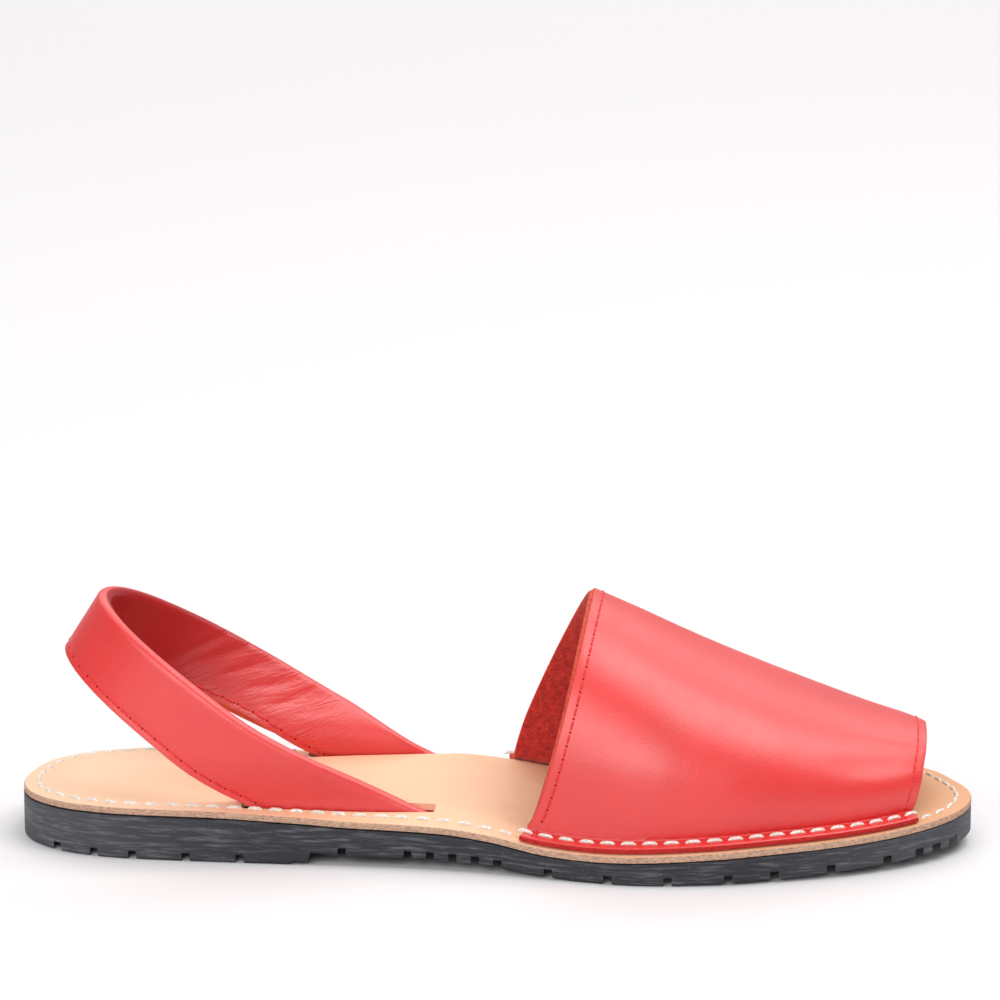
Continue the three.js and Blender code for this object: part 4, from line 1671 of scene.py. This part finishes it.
    def build(self) -> Object:
        """Makes the strap as one closed band with a slit between its two layers."""
        w = self.across()
        run = np.linspace(-1, 1, self.steps + 1)
        centre, _, normal = self.frame(run[:, None], w[None, :])
        half = np.broadcast_to(self.half_thickness(w)[None, :], centre.shape[:2])
        along = self.along(run)
        crease = self.wrinkle(along[:, None], w[None, :]) * (half > 0.6 * self.raw / 2)
        out = centre + normal * half[..., None]
        into = centre - normal * (half - crease)[..., None]
        slit = centre[:, 3:4]
        lip = normal[:, :1] * self.lip
        outer_lip, inner_lip = centre[:, :1] + lip, centre[:, :1] - lip
        ring = np.concatenate([slit, outer_lip, out, into[:, ::-1], inner_lip, slit], axis=1)
        folded = (ring + ring[:, ::-1]) / 2
        points = np.concatenate([folded[:1], ring, folded[-1:]])
        count = len(w)
        across = np.concatenate([[w[0] + 1, w[0]], w, w[::-1], [w[0], w[0] + 1]])
        along_rows = np.concatenate([along[:1], along, along[-1:]])
        uv = np.stack(np.broadcast_arrays(along_rows[:, None], across[None, :]), axis=-1)
        faces = np.zeros((points.shape[0] - 1, points.shape[1] - 1), int)
        faces[:, count + 1 :] = 1
        faces[:, :3] = 2
        faces[:, -3:] = 2
        piece = grid_piece("heel_strap_leather", points, uv, faces)
        smooth_by_angle(piece, 50)
        holes = ((self.stitch_line, self.stitch_pitch),)
        for finish in (replace(RED_STRAP, holes=holes), replace(RED_LINING, holes=holes), RED_EDGE):
            piece.data.materials.append(finish.material())
        put_in_place(piece, "heel_strap")
        return piece


@dataclass
class Stitching:
    """Rows of thread, each row one joined mesh of copies of one modelled stitch."""

    last: Last
    sides: int = 8
    rings: int = 8
    hole_lip: float = 0.45
    welt_pitch: float = 5.6
    welt_length: float = 4.4
    welt_phase: float = 0.3
    welt_thread: tuple[float, float] = (1.05, 0.25)
    strap_thread: tuple[float, float] = (0.6, 0.08)
    vamp_thread: tuple[float, float] = (0.6, 0.06)
    margin_lap: float = 1.0
    strap_run: float = 0.86
    clearance: float = 0.6
    samples: int = 900

    def stitch(self) -> tuple[np.ndarray, np.ndarray]:
        """Models one stitch along +X, one unit long and thick, its ends bent down.

        Returns:
            Its vertices and its triangles and quads as corner rows (-1 where a corner is missing).
        """
        deselect()
        bpy.ops.mesh.primitive_uv_sphere_add(segments=self.sides, ring_count=self.rings, radius=0.5)
        ball = bpy.context.object
        quarter = Matrix.Rotation(math.pi / 2, 3, "Y")
        co = np.array([quarter @ vertex.co for vertex in ball.data.vertices])
        co[:, 0] = np.sin(co[:, 0] * np.pi) / 2
        girth = np.hypot(co[:, 1], co[:, 2])
        full = 0.5 * np.clip(1.15 * (1 - np.abs(2 * co[:, 0]) ** 5), 0, 1) ** 0.5
        grow = np.where(girth > 1e-6, full / np.maximum(girth, 1e-6), 0)
        co[:, 1] *= grow
        co[:, 2] *= grow
        rows = np.full((len(ball.data.polygons), 4), -1)
        for i, face in enumerate(ball.data.polygons):
            rows[i, : len(face.vertices)] = face.vertices
        bpy.data.objects.remove(ball)
        return co, rows

    def row(
        self,
        name: str,
        start: np.ndarray,
        end: np.ndarray,
        normal: np.ndarray,
        thread: tuple[float, float],
        finish: Finish,
        slot: Slot,
    ) -> Object:
        """Sews a row of stitches.

        Args:
            name: name of the row.
            start: where each stitch comes up, in millimetres.
            end: where it goes down.
            normal: direction out of the surface at each.
            thread: its thickness, and how high a stitch's middle is above its ends.
            finish: finish of the thread.
            slot: not used.

        Returns:
            The joined row.
        """
        thick, rise = thread
        shape, faces = self.stitch()
        along = end - start
        length = np.linalg.norm(along, axis=1)
        x = along / length[:, None]
        y = unit(np.cross(normal, x))
        z = np.cross(x, y)
        place = (start + end) / 2
        arch = rise - (rise + 0.35 * thick) * (2 * shape[:, 0]) ** 4
        up = shape[:, 2] * thick + arch
        points = (
            place[:, None]
            + shape[None, :, 0, None] * along[:, None]
            + (shape[:, 1] * thick)[None, :, None] * y[:, None]
            + up[None, :, None] * z[:, None]
        )
        vertices = (points * MM).reshape(-1, 3)
        offset = np.arange(len(length)) * len(shape)
        polygons = []
        for shift in offset:
            polygons += [[int(c + shift) for c in corners if c >= 0] for corners in faces]
        mesh = bpy.data.meshes.new(name)
        mesh.from_pydata(vertices.tolist(), [], polygons)
        mesh.update()
        piece = bpy.data.objects.new(name, mesh)
        bpy.context.scene.collection.objects.link(piece)
        face_outwards(piece)
        smooth_by_angle(piece, 80)
        mesh.materials.append(finish.material())
        put_in_place(piece)
        return piece

    def welt(self, vamp: Vamp, insole: Insole) -> Object:
        """White stitches all round, through the vamp's margins and the footbed.

        Args:
            vamp: the vamp whose margins they hold.
            insole: the footbed.

        Returns:
            The row.
        """
        last = self.last
        line = last.ring(insole.stitch_inset)
        line = np.concatenate([line, line[:1]])
        place = np.column_stack([line, np.zeros(len(line))])
        starts = spaced(place, self.welt_pitch, self.welt_phase)
        run, number = gone_along(place), np.arange(len(place))
        ends = np.interp(np.interp(starts, number, run) + self.welt_length, run, number)
        a, b = row_at(line, starts), row_at(line, ends)
        middle = (a + b) / 2
        outer = middle[:, 1] < 0
        edge_from = np.where(outer, vamp.throat.outer, vamp.throat.inner) - self.margin_lap
        edge_to = np.where(outer, vamp.toe.outer, vamp.toe.inner) + self.margin_lap
        on_margin = (middle[:, 0] > edge_from) & (middle[:, 0] < edge_to)

        def level(p: np.ndarray) -> np.ndarray:
            """Places on the leather that the thread lies on."""
            height = last.bed_top(p[:, 0], p[:, 1]) - insole.channel
            height = height + np.where(on_margin, vamp.wall + vamp.seat_gap + insole.channel, 0)
            return point(p[:, 0], p[:, 1], height, last.length)

        start, end = level(a), level(b)
        normal = np.zeros_like(start)
        normal[:, 2] = 1
        name, thread = "welt_stitches", self.welt_thread
        return self.row(name, start, end, normal, thread, WHITE_THREAD, Slot.TAN)

    def between_holes(self, along: np.ndarray, pitch: float) -> tuple[np.ndarray, np.ndarray]:
        """Where the stitches of a row start and end, as fractional numbers of its points.

        Args:
            along: distance along the surface's map at each point of the row, rising.
            pitch: distance between holes.

        Returns:
            Starts and ends, each stitch just short of its two holes.
        """
        first, last = math.ceil(along[0] / pitch), math.floor(along[-1] / pitch) - 1
        hole = (np.arange(first, last) + 0.5) * pitch
        index = np.arange(len(along))
        start = np.interp(hole + self.hole_lip, along, index)
        return start, np.interp(hole + pitch - self.hole_lip, along, index)

    def strap_rows(self, strap: HeelStrap) -> list[Object]:
        """Red stitches along the strap's lower edge, on both faces."""
        made = []
        run = np.linspace(-self.strap_run, self.strap_run, self.samples)
        w = np.full_like(run, strap.stitch_line)
        half = float(strap.half_thickness(np.array([strap.stitch_line]))[0])
        centre, _, normal = strap.frame(run, w)
        starts, ends = self.between_holes(strap.along(run), strap.stitch_pitch)
        for name, way in (("strap_outer_stitches", 1), ("strap_inner_stitches", -1)):
            path = centre + way * normal * half
            a, b = row_at(path, starts), row_at(path, ends)
            n = row_at(way * normal, (starts + ends) / 2)
            bed = self.last.bed_top(a[:, 0] + self.last.length / 2, a[:, 1])
            keep = np.minimum(a[:, 2], b[:, 2]) > bed + self.clearance
            ends_kept = (a[keep], b[keep], n[keep])
            made.append(self.row(name, *ends_kept, self.strap_thread, RED_THREAD, Slot.RED))
        return made

    def vamp_rows(self, vamp: Vamp) -> list[Object]:
        """Red stitches inside the vamp's throat and toe opening."""
        made = []
        limit = 1 - vamp.margin_share - 0.4 * vamp.crease_share
        rows = (
            ("throat_stitches", vamp.throat_line / vamp.run, 1.0),
            ("toe_stitches", 1 - vamp.toe_line / vamp.run, vamp.toe_stretch()),
        )
        for name, u0, stretch in rows:
            v = np.linspace(-limit, limit, self.samples)
            u = np.full_like(v, u0)
            path = vamp.surface(u, v, np.full_like(v, vamp.wall / 2))
            normal = vamp.normal(u, v)
            starts, ends = self.between_holes(vamp.girth(0.0, v), vamp.stitch_pitch * stretch)
            a, b = row_at(path, starts), row_at(path, ends)
            n = row_at(normal, (starts + ends) / 2)
            made.append(self.row(name, a, b, n, self.vamp_thread, RED_THREAD, Slot.RED))
        return made


@dataclass(frozen=True)
class Lamp:
    """A soft oblong lamp, in metres and watts."""

    name: str
    place: tuple[float, float, float]
    aim: tuple[float, float, float]
    size: tuple[float, float]
    power: float

    def hang(self) -> None:
        """Hangs it, turned to what it lights."""
        data = bpy.data.lights.new(self.name, "AREA")
        data.shape = "RECTANGLE"
        data.size, data.size_y = self.size
        data.energy = self.power
        lamp = bpy.data.objects.new(self.name, data)
        bpy.context.scene.collection.objects.link(lamp)
        lamp.location = self.place
        toward = Vector(self.aim) - Vector(self.place)
        lamp.rotation_euler = toward.to_track_quat("-Z", "Y").to_euler()


@dataclass
class Studio:
    """Pale floor, soft light and the camera at the photograph's angle."""

    azimuth: float = 4.4
    elevation: float = 15.7
    distance: float = 1.2
    focal_pixels: float = 4428.0
    frame_pixels: float = 1000.0
    sensor: float = 36.0
    aim: tuple[float, float, float] = (0.0, 0.0, 0.01)
    aim_pixel: tuple[float, float] = (495.5, 797.0)
    floor_size: float = 60.0
    air: float = 0.31
    air_colour: Colour = (1.0, 0.99, 0.985, 1)
    lamps: tuple[Lamp, ...] = (
        Lamp("Key", (0.95, 0.0, 1.95), (0, 0, 0.03), (1.5, 1.5), 29),
        Lamp("Fill", (-0.7, -2.1, 1.2), (0, 0, 0.03), (2.6, 1.4), 42),
        Lamp("Overhead", (-0.3, 1.3, 2.6), (0, 1.0, 0), (3.0, 2.0), 22),
        Lamp("Background", (0, 4.6, 3.0), (0, 4.6, 0), (9.0, 4.0), 195),
    )

    def camera(self) -> Object:
        """Sets the camera so that the aim falls on its pixel."""
        a, e = math.radians(self.azimuth), math.radians(self.elevation)
        back = Vector((math.sin(a) * math.cos(e), -math.cos(a) * math.cos(e), math.sin(e)))
        right = Vector((math.cos(a), math.sin(a), 0))
        up = back.cross(right)
        place = Vector(self.aim) + back * self.distance
        middle = self.frame_pixels / 2
        aside = (self.aim_pixel[0] - middle) / self.focal_pixels
        above = (middle - self.aim_pixel[1]) / self.focal_pixels
        look = (-back - aside * right - above * up).normalized()
        right = look.cross(Vector((0, 0, 1))).normalized()
        up = right.cross(look)
        data = bpy.data.cameras.new("Photo view")
        data.sensor_width = self.sensor
        data.lens = self.sensor * self.focal_pixels / self.frame_pixels
        camera = bpy.data.objects.new("Photo view", data)
        bpy.context.scene.collection.objects.link(camera)
        turned = Matrix((right, up, -look)).transposed().to_4x4()
        turned.translation = place
        camera.matrix_world = turned
        bpy.context.scene.camera = camera
        return camera

    def floor(self) -> Object:
        """A wide pale floor."""
        deselect()
        bpy.ops.mesh.primitive_plane_add(size=self.floor_size)
        floor = bpy.context.object
        floor.name = "studio_floor"
        floor.data.materials.append(PALE_FLOOR.material())
        floor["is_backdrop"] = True
        return floor

    def light(self) -> None:
        """Lights the floor evenly and gives the leather its broad soft highlight."""
        world = bpy.data.worlds.new("Studio air")
        world.use_nodes = True
        sky = world.node_tree.nodes["Background"]
        sky.inputs["Color"].default_value = self.air_colour
        sky.inputs["Strength"].default_value = self.air
        bpy.context.scene.world = world
        bpy.context.scene.view_settings.view_transform = "Standard"
        for lamp in self.lamps:
            lamp.hang()

    def build(self) -> None:
        """Sets up the whole studio."""
        self.floor()
        self.light()
        self.camera()


def corners(box: object) -> list[list[float]]:
    """A box as plain lists of numbers."""
    return [[float(x) for x in corner] for corner in box]


def main() -> None:
    """Builds the sandal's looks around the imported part."""
    logging.basicConfig(level=logging.INFO, format="%(name)s: %(message)s")
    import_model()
    cad_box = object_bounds()
    last = Last()
    slots, vamp, insole = Slots(last), Vamp(last), Insole(last)
    strap = HeelStrap(last, slots)
    Outsole(last).build(strap, slots)
    insole.build(slots)
    vamp.build()
    strap.build()
    sewing = Stitching(last)
    sewing.welt(vamp, insole)
    sewing.strap_rows(strap)
    sewing.vamp_rows(vamp)
    Studio().build()
    {"cad": corners(cad_box), "visual": corners(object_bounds())}


if __name__ == "__main__":
    main()
